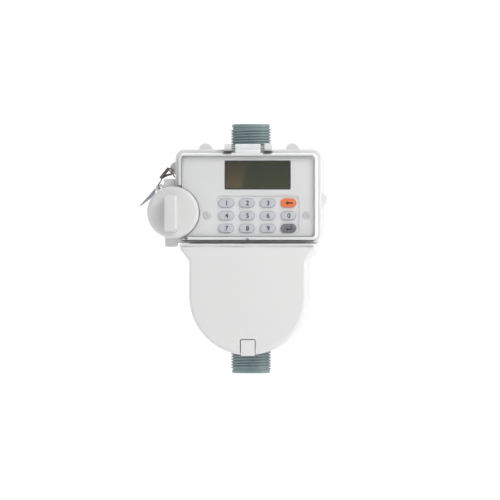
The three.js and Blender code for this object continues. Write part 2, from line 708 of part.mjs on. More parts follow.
function lcdModule() {
  const { x0, x1, z0, z1 } = windowBox;
  const lensBackY = faceFrontY + faceThick + seat + 1;
  return box(x0 - 3, x1 + 3, boardFrontY - seat, lensBackY + seat, z0 - 2.5, z1 + 0.4);
}

function lcdLens() {
  const plateBackY = faceFrontY + faceThick;
  const front = slab(roundRect(windowBox, 0.7, seat), plateBackY + seat + 0.5, faceFrontY + 0.3, 0, 2);
  const flange = slab(roundRect(windowBox, 1, -0.8), plateBackY + seat + 1, plateBackY + seat, 0, 1);
  return union(front, flange);
}

function faceScrew([x, z]) {
  const head = cylinderY(screwHeadR, faceFrontY + 1.6 - seat, faceFrontY + 0.2, x, z, 16);
  const shank = cylinderY(screwShankR, faceFrontY + 1, dividerY - dividerWall - seat, x, z, 12);
  let made = union(head, shank);
  for (let i = 0; i < 3; i++) {
    const lobe = new THREE.BoxGeometry(1.5, 1.2, 0.9);
    lobe.translate(0.75, 0, 0);
    lobe.rotateY(i * twoPi / 3 + Math.PI / 2);
    made = made.subtract(solid(lobe.translate(x, faceFrontY + 0.4, z)));
  }
  return made;
}

function flipCover() {
  const skirtY = caseFrontY - 1;
  const notch = cylinderY(capR + capGap, skirtY + 1, coverFrontY - 1, batteryX, batteryZ);
  let made = frontSlab(roundRect(coverBox, 4), skirtY, coverFrontY, 2, 4)
    .subtract(slab(roundRect(coverBox, 4, coverWall), skirtY + 1, coverFrontY + coverWall, 0, 4));
  const half = coverStrapHalf;
  const eye = cylinderX(knuckleR, -half, half, coverPivot.y, coverPivot.z);
  const strap = box(-half, half, coverPivot.y - knuckleR, coverPivot.y, coverTopZ - 1, coverPivot.z);
  return union(made, eye, strap)
    .subtract(cylinderX(pinR + 0.05 + seat, -18, 18, coverPivot.y, coverPivot.z, 16))
    .subtract(notch);
}

function addCasing() {
  add("back_cover", backCover(), white, 0.45);
  add("lower_case", lowerCase(), white, 0.45);
  add("lower_lid", lowerLid(), white, 0.4);
  add("lid_hinge_pin", cylinderX(pinR, -33, 33, lidPivot.y, lidPivot.z, 12), steel, 0.25, 1);
  add("lid_latch", lidLatch(), white, 0.4);
  add("electronics_case", electronicsCase(), white, 0.45);
  add("case_gasket", gasket(), rubberBlack, 0.7);
  add("front_face", frontFace(), 0xdcdcdc, 0.4);
  add("flip_cover", flipCover(), 0xe9edee, 0.08);
  add("cover_hinge_pin", cylinderX(pinR, -15.3, 15.3, coverPivot.y, coverPivot.z, 12), steel, 0.25, 1);
}

function addElectronics() {
  const board = roundRect({ x0: -22.5, x1: 34, z0: 93, z1: 140.5 }, 1);
  add("circuit_board", slab(board, boardBackY, boardFrontY, 0, 2), 0x1f6b3a, 0.5);
  add("lcd_module", lcdModule(), 0x2a2b26, 0.4);
  add("lcd_lens", lcdLens(), 0x59603f, 0.08);
  add("keypad_mat", keypadMat(), 0x6d7275, 0.8);
  const keyColors = { key_back: 0xfd7a33, key_enter: 0x8c8b90 };
  keyPlaces.forEach(([x, z], i) => add(keyNames[i], key(x, z), keyColors[keyNames[i]] ?? 0xb9c4c7, 0.4));
  for (const [name, place] of Object.entries(screwPlaces))
    add(name, faceScrew(place), 0xc9cacc, 0.25, 1);
}

// ---- Battery bay and seal ----

const tubeNeckR = tubeR - threadStep;
const sealRingY = tubeFrontY - seat;
const sealRingThick = 2;
const capBackY = sealRingY - sealRingThick - seat;
const neckFrontY = capBackY - 3.6;
const tubeBackY = 18;

const lobeR = 2.9;
const sealHole = { x: batteryX - 9.1, z: batteryZ + tubeR + 0.4 };

function batteryTube() {
  const bore = batteryR + free;
  const shell = turnedY([[0, tubeBackY], [tubeR, tubeBackY], [tubeR, tubeFrontY], [tubeNeckR, tubeFrontY],
    [tubeNeckR, neckFrontY], [bore, neckFrontY], [bore, tubeBackY - tubeWall], [0, tubeBackY - tubeWall]],
    batteryX, batteryZ);
  const earLow = batteryZ + bore + 1;
  const ear = box(batteryX - 6.7, -upperHalfWidth - seat, -30.6, -35.4, earLow, batteryZ + tubeR + 6.7);
  const lobe = cylinderY(lobeR, -31, -34.6, sealHole.x, sealHole.z, 16);
  const web = box(sealHole.x - 1.2, sealHole.x + 3.7, -31, -34.6, sealHole.z - 4.3, sealHole.z);
  const bite = cylinderY(bore, tubeBackY - tubeWall, neckFrontY, batteryX, batteryZ);
  return union(shell, ear, lobe, web)
    .subtract(bite)
    .subtract(cylinderY(1, -30, -36, sealHole.x, sealHole.z, 12));
}

function battery() {
  const back = capBackY - 1.6 + batteryLength;
  const can = cylinderY(batteryR, back, back - batteryLength, batteryX, batteryZ, 28);
  return can.add(cylinderY(3, back - 1, back - batteryLength - 1.2, batteryX, batteryZ, 12));
}

class Helix extends THREE.Curve {
  constructor(radius, y0, y1, turns) {
    super();
    Object.assign(this, { radius, y0, y1, turns });
  }
  getPoint(t, target = new THREE.Vector3()) {
    const angle = t * this.turns * twoPi;
    const y = this.y0 + (this.y1 - this.y0) * t;
    return target.set(this.radius * Math.cos(angle), y, this.radius * Math.sin(angle));
  }
}

function wire(path, r, steps, sides = 8) {
  const section = new THREE.Shape().absarc(0, 0, r, 0, twoPi);
  return solid(new THREE.ExtrudeGeometry(section, { steps, curveSegments: sides / 2, extrudePath: path }));
}

function batterySpring() {
  const batteryBackY = capBackY - 1.6 + batteryLength;
  const r = 0.5;
  const path = new Helix(6, tubeBackY - tubeWall - seat - r, batteryBackY + seat + r, 2.5);
  return wire(path, r, 36, 6).translate([batteryX, 0, batteryZ]);
}

function batteryCap() {
  const skirtR = tubeNeckR + free;
  const top = capFrontY;
  const disc = turnedY([[0, top], [capR - 1.2, top], [capR, top + 1.2], [capR, capBackY], [skirtR, capBackY],
    [skirtR, neckFrontY - free], [0, neckFrontY - free]], batteryX, batteryZ);
  const halfW = gripWidth / 2;
  const halfL = gripLength / 2;
  const gripZ = batteryZ - 0.9;
  const outline = roundRect({ x0: batteryX - 1 - halfW, x1: batteryX - 1 + halfW,
    z0: gripZ - halfL, z1: gripZ + halfL }, 2);
  return disc.add(frontSlab(outline, top + 0.5, gripFrontY, 1.5, 3));
}

function curveThrough(points) {
  return new THREE.CatmullRomCurve3(points.map((p) => new THREE.Vector3(...p)));
}

function sealWire() {
  const strandR = 0.45;
  const fromHole = (points) => curveThrough(points.map(([x, y, z]) => [sealHole.x + x, y, sealHole.z + z]));
  const twist = wire(fromHole([[5.9, -33, 12.7], [3.4, -34, 9.9], [1, -33.6, 6.3]]), 1.1, 8);
  const loopPath = [[1.3, -33.6, 7.1], [0.8, -35, 4.3], [-0.2, -36.2, 1.9], [0, -36, 0], [0, -33, 0],
    [0, -29.6, 0], [-2.4, -29, -0.7]];
  const hookPath = [[5.6, -33, 12.3], [7, -33.4, 14.3], [7.8, -32.8, 15.9], [7.8, -31, 17.3]];
  const loop = wire(fromHole(loopPath), strandR, 24, 6);
  const hook = wire(fromHole(hookPath), strandR, 10, 6);
  return union(twist, loop, hook);
}

function sealTag() {
  const shape = new THREE.Shape();
  const { x, z } = sealHole;
  shape.moveTo(x - 3.3, z + 0.1);
  shape.lineTo(x - 3.8, z - 2.9);
  shape.lineTo(x - 13.7, z - 12);
  shape.lineTo(x - 13.3, z - 11.1);
  return slab(shape, -23, -33);
}

function addBattery() {
  add("battery_tube", batteryTube(), white, 0.45);
  add("battery", battery(), 0x3c5a86, 0.4);
  add("battery_spring", batterySpring(), steel, 0.3, 1);
  add("battery_cap", batteryCap(), white, 0.4);
  const ring = ringY(tubeNeckR + seat, capR - 0.4, sealRingY, sealRingY - sealRingThick, batteryX, batteryZ);
  add("battery_cap_seal", ring, rubberBlack, 0.7);
  add("seal_wire", sealWire(), 0x5b5550, 0.4, 0.9);
  add("seal_tag", sealTag(), 0x8fa0b4, 0.5);
}

addMeasuring();
addValve();
addCasing();
addElectronics();
addBattery();

export default group;
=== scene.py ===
"""Looks of a prepaid keypad water meter: moulded ABS casing, clear flip cover, rubber keys, nylon pipe body."""
import json
import math

import bmesh
import bpy
from mathutils import Matrix, Vector


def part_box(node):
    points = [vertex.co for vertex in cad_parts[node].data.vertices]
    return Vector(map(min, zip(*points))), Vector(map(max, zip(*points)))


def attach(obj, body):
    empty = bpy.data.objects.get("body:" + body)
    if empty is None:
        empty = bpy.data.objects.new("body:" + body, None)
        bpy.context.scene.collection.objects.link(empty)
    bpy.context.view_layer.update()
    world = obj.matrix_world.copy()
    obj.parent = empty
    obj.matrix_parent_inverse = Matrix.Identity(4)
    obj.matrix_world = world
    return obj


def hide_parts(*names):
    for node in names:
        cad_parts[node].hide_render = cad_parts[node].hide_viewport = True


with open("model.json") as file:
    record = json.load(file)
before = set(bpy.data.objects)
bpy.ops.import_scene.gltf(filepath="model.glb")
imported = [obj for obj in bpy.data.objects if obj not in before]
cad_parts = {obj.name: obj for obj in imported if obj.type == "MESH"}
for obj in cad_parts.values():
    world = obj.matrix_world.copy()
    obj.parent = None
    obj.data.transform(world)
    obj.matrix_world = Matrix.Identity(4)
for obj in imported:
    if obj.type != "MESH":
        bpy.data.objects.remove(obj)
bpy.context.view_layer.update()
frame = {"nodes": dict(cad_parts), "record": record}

MM = 0.001  # shapes are made in millimetres and scaled once, when a piece is finished


def cad(node):
    """Lowest and highest corner of a CAD node, in millimetres."""
    low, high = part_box(node)
    return Vector(low) / MM, Vector(high) / MM


# ---- Driving places, from the frame ----

BACK_HIGH = cad("back_cover")[1]
LID_LOW, LID_HIGH = cad("lower_lid")
COVER_LOW, COVER_HIGH = cad("flip_cover")
FACE_LOW, FACE_HIGH = cad("front_face")
LENS_LOW, LENS_HIGH = cad("lcd_lens")
CAP_LOW, CAP_HIGH = cad("battery_cap")
CAP_SEAL_LOW = cad("battery_cap_seal")[0]
BODY_HIGH = cad("flow_body")[1]
LATCH_LOW, LATCH_HIGH = cad("lid_latch")
JOINTS = {joint["name"]: joint for joint in frame["record"]["behaviour"]["joints"]}


def pivot(joint):
    """A hinge's point in millimetres."""
    return Vector(JOINTS[joint]["pos_m"]) / MM


LID_PIVOT = pivot("lid_hinge")
COVER_PIVOT = pivot("cover_hinge")
CAP_AXIS = pivot("cap_turn")
CHAMBER_AXIS = pivot("impeller_spin")

# ---- Mould and fit sizes, millimetres ----

WALL = 2.2
LID_WALL = 2.0
SEAT = 0.3
FREE = 0.5
SPLIT_Y = 0.15
CASE_FRONT_Y = -35.6
DIVIDER_Y = -29.4
CASE_CORNER = 6.0
CASE_BOTTOM_Z = 86.2
LOWER_FRONT_Y = -29.7
LOWER_HALF = 38.6
SHOULDER_TOP_Z = 82.2
SHOULDER_LOW_Z = 74.3
ROUND_Z = 51.0
THREAD_R = 13.22
PITCH = 1.814
THREAD_DEPTH = 1.16
THREAD_TURNS = 7
LIP = 2.4
NECK_R = 12.4
PIPE_CLEAR_R = THREAD_R + FREE
CAP_GAP = 1.5
CAP_R = (CAP_HIGH.x - CAP_LOW.x) / 2
FINE = 0.3  # radius left on moulded edges
PLATE = 2.5
COVER_CORNER = 4.0
WINDOW = (LENS_LOW.x + 0.8, LENS_HIGH.x - 0.8, LENS_LOW.z + 0.8, LENS_HIGH.z - 0.8)
KEYPAD = (-20.7, 33.9, 92.3, 117.4)
KEY_RECESS = 1.0

# ---- Mesh helpers ----


def prism(outline, y_back, y_front, rounding=(), rim=0.0, steps=8, rim_steps=5):
    """A solid of an X-Z outline from y_back to y_front.

    rounding lists (corner numbers, offset), and rim rounds the front edge."""
    bm = bmesh.new()
    corners = [bm.verts.new((x, y_back, z)) for x, z in outline]
    bm.faces.new(corners)
    for numbers, offset in rounding:
        bmesh.ops.bevel(bm, geom=[corners[n] for n in numbers], offset=offset, segments=steps,
                        profile=0.5, affect='VERTICES', material=-1)
    grown = bmesh.ops.extrude_face_region(bm, geom=bm.faces[:])
    moved = [item for item in grown["geom"] if isinstance(item, bmesh.types.BMVert)]
    bmesh.ops.translate(bm, verts=moved, vec=(0, y_front - y_back, 0))
    if rim:
        edges = [e for e in bm.edges if all(abs(v.co.y - y_front) < 1e-4 for v in e.verts)]
        bmesh.ops.bevel(bm, geom=edges, offset=rim, segments=rim_steps, profile=0.5,
                        affect='EDGES', material=-1)
    bmesh.ops.recalc_face_normals(bm, faces=bm.faces[:])
    return bm


def rectangle(x0, x1, z0, z1):
    return [(x0, z0), (x1, z0), (x1, z1), (x0, z1)]


ALL_FOUR = (0, 1, 2, 3)


def block(x0, x1, y0, y1, z0, z1, corner=0.0, steps=4):
    rounding = [(ALL_FOUR, corner)] if corner else ()
    return prism(rectangle(x0, x1, z0, z1), max(y0, y1), min(y0, y1), rounding, steps=steps)


def turned(profile, steps=64):
    """A profile of (radius, height) spun round Z. It starts and ends on the axis or closes on itself."""
    bm = bmesh.new()
    verts = [bm.verts.new((r, 0, z)) for r, z in profile]
    edges = [bm.edges.new(pair) for pair in zip(verts, verts[1:])]
    if profile[0][0] > 0:
        edges.append(bm.edges.new((verts[-1], verts[0])))
    bmesh.ops.spin(bm, geom=verts + edges, cent=(0, 0, 0), axis=(0, 0, 1), angle=2 * math.pi,
                   steps=steps, use_merge=True)
    bmesh.ops.remove_doubles(bm, verts=bm.verts[:], dist=1e-4)
    bmesh.ops.recalc_face_normals(bm, faces=bm.faces[:])
    return bm


ALONG_Y = Matrix.Rotation(math.radians(90), 4, 'X')  # height becomes distance towards the front
ALONG_X = Matrix.Rotation(math.radians(90), 4, 'Y')


def place(bm, matrix=Matrix(), at=(0, 0, 0)):
    bmesh.ops.transform(bm, matrix=Matrix.Translation(at) @ matrix, verts=bm.verts[:])
    return bm


def turned_y(profile, x, z, steps=64):
    """A profile of (radius, y) spun round an axis along Y at x, z."""
    return place(turned([(r, -y) for r, y in profile], steps), ALONG_Y, (x, 0, z))


def rod_y(r, y0, y1, x, z, steps=48):
    return turned_y([(0, y0), (r, y0), (r, y1), (0, y1)], x, z, steps)


def rod_x(r, x0, x1, y, z):
    return place(turned([(0, x0), (r, x0), (r, x1), (0, x1)], 32), ALONG_X, (0, y, z))


def rod_z(r, z0, z1):
    return turned([(0, z0), (r, z0), (r, z1), (0, z1)])


def as_object(bm, name="tool"):
    mesh = bpy.data.meshes.new(name)
    bm.to_mesh(mesh)
    bm.free()
    made = bpy.data.objects.new(name, mesh)
    bpy.context.scene.collection.objects.link(made)
    return made


def combine(base, cuts=(), joins=()):
    """base with the joins added and then the cuts taken away, as a new bmesh."""
    target = as_object(base)
    tools = []
    for operation, solids in (('UNION', joins), ('DIFFERENCE', cuts)):
        for solid in solids:
            tool = as_object(solid)
            tools.append(tool)
            step = target.modifiers.new("step", 'BOOLEAN')
            step.operation = operation
            step.solver = 'EXACT'
            step.object = tool
    graph = bpy.context.evaluated_depsgraph_get()
    graph.update()
    result = bmesh.new()
    result.from_mesh(target.evaluated_get(graph).to_mesh())
    for spare in [target] + tools:
        mesh = spare.data
        bpy.data.objects.remove(spare)
        bpy.data.meshes.remove(mesh)
    bmesh.ops.remove_doubles(result, verts=result.verts[:], dist=1e-3)
    bmesh.ops.dissolve_degenerate(result, edges=result.edges[:], dist=1e-3)
    return result


def piece(bm, name, body, look, replaces=(), fillet=FINE, crease=32, looks=()):
    """A finished piece: its place is in its mesh, in metres, and it rides on a body."""
    bmesh.ops.recalc_face_normals(bm, faces=bm.faces[:])
    bmesh.ops.scale(bm, vec=(MM, MM, MM), verts=bm.verts[:])
    made = as_object(bm, name)
    made.name = name
    for item in (look, *looks):
        made.data.materials.append(item)
    made.data.shade_smooth()
    made.data.set_sharp_from_angle(angle=math.radians(crease))
    if fillet:
        soften = made.modifiers.new("moulded edge", 'BEVEL')
        soften.width = fillet * MM
        soften.segments = 2
        soften.limit_method = 'ANGLE'
        soften.angle_limit = math.radians(42)
        soften.use_clamp_overlap = True
        soften.harden_normals = True
    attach(made, body)
    if replaces:
        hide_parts(*replaces)
    return made


# ---- Materials ----


def srgb(code):
    """A hex colour as linear RGBA."""
    parts = [int(code[i:i + 2], 16) / 255 for i in (1, 3, 5)]
    linear = [c / 12.92 if c <= 0.04045 else ((c + 0.055) / 1.055) ** 2.4 for c in parts]
    return (*linear, 1.0)


def add(tree, kind, links=None, **settings):
    """Adds a node, sets its properties and fills its sockets with values or links."""
    node = tree.nodes.new(kind)
    for name, value in settings.items():
        setattr(node, name, value)
    for socket, value in (links or {}).items():
        if isinstance(value, bpy.types.NodeSocket):
            tree.links.new(value, node.inputs[socket])
        else:
            node.inputs[socket].default_value = value
    return node


def blank(name):
    look = bpy.data.materials.new(name)
    look.use_nodes = True
    look.node_tree.nodes.clear()
    return look, look.node_tree


def object_space(tree):
    where = add(tree, "ShaderNodeTexCoord")
    return add(tree, "ShaderNodeMapping", {"Vector": where.outputs["Object"]}).outputs["Vector"]


COLOUR_A, COLOUR_B = 6, 7  # the mix node's colour sockets, whose names its number sockets share


def per_metre(millimetres):
    """Noise scale for features of this size."""
    return 1 / (millimetres * MM)


def moulded(name, colour, tone, roughness, ior=1.5, grain_mm=0.5, grain=0.04, metallic=0.0, patch_mm=18, coat=0.0,
            rough_spread=0.03):
    """Moulded or cast stock: two close tones in broad patches, a fine surface grain and uneven gloss."""
    look, tree = blank(name)
    space = object_space(tree)
    patches = add(tree, "ShaderNodeTexNoise", {"Vector": space, "Scale": per_metre(patch_mm), "Detail": 3.0,
                                               "Roughness": 0.55})
    tones = add(tree, "ShaderNodeMix", {"Factor": patches.outputs["Fac"], COLOUR_A: srgb(colour),
                                        COLOUR_B: srgb(tone)}, data_type='RGBA')
    skin = add(tree, "ShaderNodeTexNoise", {"Vector": space, "Scale": per_metre(grain_mm), "Detail": 2.0})
    gloss = add(tree, "ShaderNodeMapRange", {"Value": patches.outputs["Fac"],
                                             "To Min": max(roughness - rough_spread, 0.02),
                                             "To Max": roughness + rough_spread})
    relief = add(tree, "ShaderNodeBump", {"Height": skin.outputs["Fac"], "Strength": grain,
                                          "Distance": 0.1 * MM})
    surface = add(tree, "ShaderNodeBsdfPrincipled",
                  {"Base Color": tones.outputs[2], "Roughness": gloss.outputs["Result"],
                   "Metallic": metallic, "IOR": ior, "Coat Weight": coat, "Coat Roughness": 0.08,
                   "Normal": relief.outputs["Normal"]})
    add(tree, "ShaderNodeOutputMaterial", {"Surface": surface.outputs["BSDF"]})
    return look


def clear_polycarbonate():
    """Clear moulded polycarbonate: see-through, mirror-smooth and brighter at grazing angles."""
    look, tree = blank("clear moulded polycarbonate")
    through = add(tree, "ShaderNodeBsdfTransparent", {"Color": srgb("#FEFEFE")})
    space = object_space(tree)
    waves = add(tree, "ShaderNodeTexNoise", {"Vector": space, "Scale": per_metre(30), "Detail": 1.0})
    flow = add(tree, "ShaderNodeBump", {"Height": waves.outputs["Fac"], "Strength": 0.05, "Distance": 0.5 * MM})
    skin = add(tree, "ShaderNodeBsdfPrincipled", {"Base Color": srgb("#EFF2F3"), "Roughness": 0.06, "IOR": 1.585,
                                                  "Normal": flow.outputs["Normal"]})
    mirror = add(tree, "ShaderNodeLayerWeight", {"Blend": 0.12})
    share = add(tree, "ShaderNodeMapRange", {"Value": mirror.outputs["Fresnel"], "From Min": 0.0, "From Max": 1.0,
                                             "To Min": 0.015, "To Max": 0.8})
    both = add(tree, "ShaderNodeMixShader", {0: share.outputs["Result"], 1: through.outputs["BSDF"],
                                             2: skin.outputs["BSDF"]})
    add(tree, "ShaderNodeOutputMaterial", {"Surface": both.outputs["Shader"]})
    return look


def rim_glow_painted_polycarbonate():
    """The same polycarbonate on rims and walls, made a mostly opaque pale skin: painted light for the glow that
    clear rims gather.
    """
    look, tree = blank("clear polycarbonate rim, painted glow")
    space = object_space(tree)
    waves = add(tree, "ShaderNodeTexNoise", {"Vector": space, "Scale": per_metre(12), "Detail": 2.0})
    through = add(tree, "ShaderNodeBsdfTransparent", {"Color": srgb("#FDFDFD")})
    # Most of the rim is an opaque pale skin: painted light, not a property of clear polycarbonate.
    share = add(tree, "ShaderNodeMapRange", {"Value": waves.outputs["Fac"], "To Min": 0.78, "To Max": 0.92})
    skin = add(tree, "ShaderNodeBsdfPrincipled", {"Base Color": srgb("#F1F2F3"), "Roughness": 0.12, "IOR": 1.585})
    both = add(tree, "ShaderNodeMixShader", {0: share.outputs["Result"], 1: through.outputs["BSDF"],
                                             2: skin.outputs["BSDF"]})
    add(tree, "ShaderNodeOutputMaterial", {"Surface": both.outputs["Shader"]})
    return look


def turned_metal(name, colour, tone, roughness, ring_mm=0.35):
    """Turned or drawn metal: fine lines that spread the highlight, and slightly uneven polish."""
    look, tree = blank(name)
    space = object_space(tree)
    lines = add(tree, "ShaderNodeTexNoise", {"Vector": space, "Scale": per_metre(ring_mm), "Detail": 3.0})
    wear = add(tree, "ShaderNodeTexNoise", {"Vector": space, "Scale": per_metre(4), "Detail": 3.0})
    tones = add(tree, "ShaderNodeMix", {"Factor": wear.outputs["Fac"], COLOUR_A: srgb(colour),
                                        COLOUR_B: srgb(tone)}, data_type='RGBA')
    gloss = add(tree, "ShaderNodeMapRange", {"Value": lines.outputs["Fac"], "To Min": roughness - 0.08,
                                             "To Max": roughness + 0.1})
    relief = add(tree, "ShaderNodeBump", {"Height": lines.outputs["Fac"], "Strength": 0.08, "Distance": 0.05 * MM})
    surface = add(tree, "ShaderNodeBsdfPrincipled", {"Base Color": tones.outputs[2], "Metallic": 1.0,
                                                     "Roughness": gloss.outputs["Result"],
                                                     "Normal": relief.outputs["Normal"]})
    add(tree, "ShaderNodeOutputMaterial", {"Surface": surface.outputs["BSDF"]})
    return look


def display_film():
    """Reflective LCD behind its glass: olive film with a painted reflection browning its left part, darker towards
    its top.
    """
    look, tree = blank("reflective LCD behind polished glass")
    where = add(tree, "ShaderNodeTexCoord")
    left, right = WINDOW[0] * MM, WINDOW[1] * MM
    lean = 0.2  # sideways run of the painted reflection's border, per unit of height
    across = add(tree, "ShaderNodeSeparateXYZ", {"Vector": where.outputs["Object"]})
    slant = add(tree, "ShaderNodeMath", {0: across.outputs["Z"], 1: lean}, operation='MULTIPLY')
    slanted = add(tree, "ShaderNodeMath", {0: across.outputs["X"], 1: slant.outputs[0]}, operation='SUBTRACT')
    reflection_edge = left + 0.3 * (right - left) - lean * (WINDOW[2] + WINDOW[3]) / 2 * MM
    blend = add(tree, "ShaderNodeMapRange", {"Value": slanted.outputs[0], "From Min": reflection_edge - 1.2 * MM,
                                             "From Max": reflection_edge + 1.2 * MM}, interpolation_type='SMOOTHSTEP')
    # The brown tone on the left is a painted reflection laid over the olive film.
    film = add(tree, "ShaderNodeMix", {"Factor": blend.outputs["Result"], COLOUR_A: srgb("#5F5032"),
                                       COLOUR_B: srgb("#363C1C")}, data_type='RGBA')
    height = add(tree, "ShaderNodeMapRange", {"Value": across.outputs["Z"], "From Min": WINDOW[2] * MM,
                                              "From Max": WINDOW[3] * MM, "To Min": 0.0, "To Max": 0.9})
    shaded = add(tree, "ShaderNodeMix", {"Factor": height.outputs["Result"], COLOUR_A: film.outputs[2],
                                         COLOUR_B: srgb("#252918")}, data_type='RGBA')
    cloud = add(tree, "ShaderNodeTexNoise", {"Vector": where.outputs["Object"], "Scale": per_metre(9)})
    gloss = add(tree, "ShaderNodeMapRange", {"Value": cloud.outputs["Fac"], "To Min": 0.5, "To Max": 0.6})
    surface = add(tree, "ShaderNodeBsdfPrincipled", {"Base Color": shaded.outputs[2], "IOR": 1.5,
                                                     "Roughness": gloss.outputs["Result"],
                                                     "Specular IOR Level": 0.2})
    add(tree, "ShaderNodeOutputMaterial", {"Surface": surface.outputs["BSDF"]})
    return look


WHITE_ABS = moulded("moulded white ABS, satin gloss", "#E1E1E0", "#DEDEDE", 0.32, ior=1.53, grain=0.05, patch_mm=45)
# The face plate's white is lighter than the other white ABS: painted light that offsets the shade the clear cover
# casts on it.
FACE_ABS_LIGHTENED = moulded("moulded white ABS, spark-eroded face, painted lighter", "#EAEAEA", "#E6E6E6", 0.45, ior=1.53, grain_mm=0.4,
                   grain=0.12, patch_mm=45)
GREY_NYLON = moulded("glass-filled grey nylon, moulded", "#87989B", "#778A8D", 0.36, ior=1.53, grain_mm=0.8,
                     grain=0.2, patch_mm=6, rough_spread=0.1)
DARK_NYLON = moulded("glass-filled black nylon, moulded", "#3A3E40", "#303335", 0.48, grain_mm=0.8, grain=0.2)
RUBBER = moulded("nitrile rubber, moulded", "#1E1F20", "#2A2B2C", 0.62, ior=1.52, grain=0.2)
ACETAL = moulded("natural acetal, moulded", "#E8E4D6", "#DED9C8", 0.4, ior=1.48)
PTFE = moulded("turned PTFE", "#F4F4F2", "#EAEAE8", 0.5, ior=1.36)
BLUE_POM = moulded("blue acetal impeller", "#3F6FA3", "#375F8E", 0.4, ior=1.48)
RED_ABS = moulded("red ABS, moulded", "#C23A2E", "#B03227", 0.3, ior=1.53)
CARD = moulded("matt printed dial", "#F2F2EF", "#EAEAE6", 0.6)
# Pale grey rubber, its real tone, set a little lighter as painted light against the cover's shade.
KEY_PALE_LIGHTENED = moulded("pale silicone rubber key", "#D2D5DB", "#CBCED4", 0.34, ior=1.43, grain=0.06, patch_mm=5)
KEY_ORANGE = moulded("orange silicone rubber key", "#FC8446", "#F67B3B", 0.34, ior=1.43, grain=0.06, patch_mm=5)
KEY_GREY = moulded("grey silicone rubber key", "#828287", "#78787D", 0.34, ior=1.43, grain=0.06, patch_mm=5)
INK = moulded("screen-printed ink", "#30363B", "#262B2F", 0.5, grain=0.02)
INK_BLACK = moulded("screen-printed black ink", "#120D0B", "#0D0908", 0.5, grain=0.02)
LCD_BORDER = moulded("black print behind lens glass", "#1B1B16", "#171713", 0.18, coat=1.0, grain=0.0)
LCD_FILM = display_film()
SILICONE_GREY = moulded("grey silicone mat", "#6D7275", "#63686B", 0.6, ior=1.43)
BOARD = moulded("green solder resist over glass fibre", "#1F6B3A", "#1A5E32", 0.35, grain_mm=0.9, grain=0.15)
LCD_FRAME = moulded("black display frame", "#2A2B26", "#232420", 0.4)
BATTERY_FILM = moulded("shrink film on a lithium cell", "#3C5A86", "#35507A", 0.25)
STEEL = turned_metal("turned stainless steel", "#BFC1C4", "#A9ABAE", 0.28)
SCREW_STEEL = turned_metal("zinc-plated screw", "#D4D5D8", "#B9BBBF", 0.24)
BRASS = turned_metal("turned brass", "#CBA75E", "#B9954E", 0.3)
MAGNET = moulded("black ferrite magnet", "#3A3A3C", "#2E2E30", 0.5, metallic=0.3)
SCREW_PAINT = moulded("white-painted screw head", "#DFDFDF", "#DADADA", 0.42, grain=0.05)
WIRE_STEEL = turned_metal("dulled twisted seal wire", "#8B857F", "#4A4441", 0.36, ring_mm=0.5)
TAG = moulded("blue-grey anodised tag", "#A4AFB7", "#8E9BA5", 0.35, metallic=0.3)
CLEAR = clear_polycarbonate()
CLEAR_RIM_PAINTED_GLOW = rim_glow_painted_polycarbonate()
SILICONE_PALE = moulded("white silicone seal ring", "#DADBDB", "#D0D2D3", 0.5, ior=1.43)
CAP_ABS = moulded("moulded white ABS cap", "#D9D9D8", "#D5D5D5", 0.34, ior=1.53, grain=0.06, patch_mm=40)

# ---- Casing ----

CASE_HALF = BACK_HIGH.x
CASE_TOP_Z = BACK_HIGH.z
CASE = (-CASE_HALF, CASE_HALF, CASE_BOTTOM_Z, CASE_TOP_Z)


def inset(rect, by):
    x0, x1, z0, z1 = rect
    return rectangle(x0 + by, x1 - by, z0 + by, z1 - by)


ROUND_STEPS = 36


def lower_outline(by):
    """Shoulders above, straight sides and half a circle below, drawn in by a wall."""
    half, top_half, top = LOWER_HALF - by, LID_HIGH.x - by, LID_HIGH.z - by
    low, high = SHOULDER_LOW_Z + 0.4 * by, SHOULDER_TOP_Z + 0.4 * by
    points = [(half, low), (top_half, high), (top_half, top), (-top_half, top), (-top_half, high), (-half, low)]
    for step in range(ROUND_STEPS + 1):
        turn = math.pi * (1 + step / ROUND_STEPS)
        points.append((half * math.cos(turn), ROUND_Z + half * math.sin(turn)))
    return points


LOWER_ROUNDING = [((0, 5), 1.6), ((1, 4), 1.2), ((2, 3), 1.2)]


def lower_prism(by, y_back, y_front, **options):
    return prism(lower_outline(by), y_back, y_front, LOWER_ROUNDING, steps=5, **options)


def pipe_space(z0, z1):
    return rod_z(PIPE_CLEAR_R, z0, z1)


def battery_space(y0, y1, r):
    return rod_y(r, y0, y1, CAP_AXIS.x, CAP_AXIS.z, 96)


TUBE_R = CAP_R - 1.5
NECK_STEP = 0.9  # the tube's threaded neck is this much smaller
CAP_RUN = 3.6  # length of neck inside the cap, in front of its seal
EAR_X, EAR_Z = CAP_AXIS.x - 9.1, CAP_AXIS.z + TUBE_R + 0.4  # the hole that the seal wire goes through


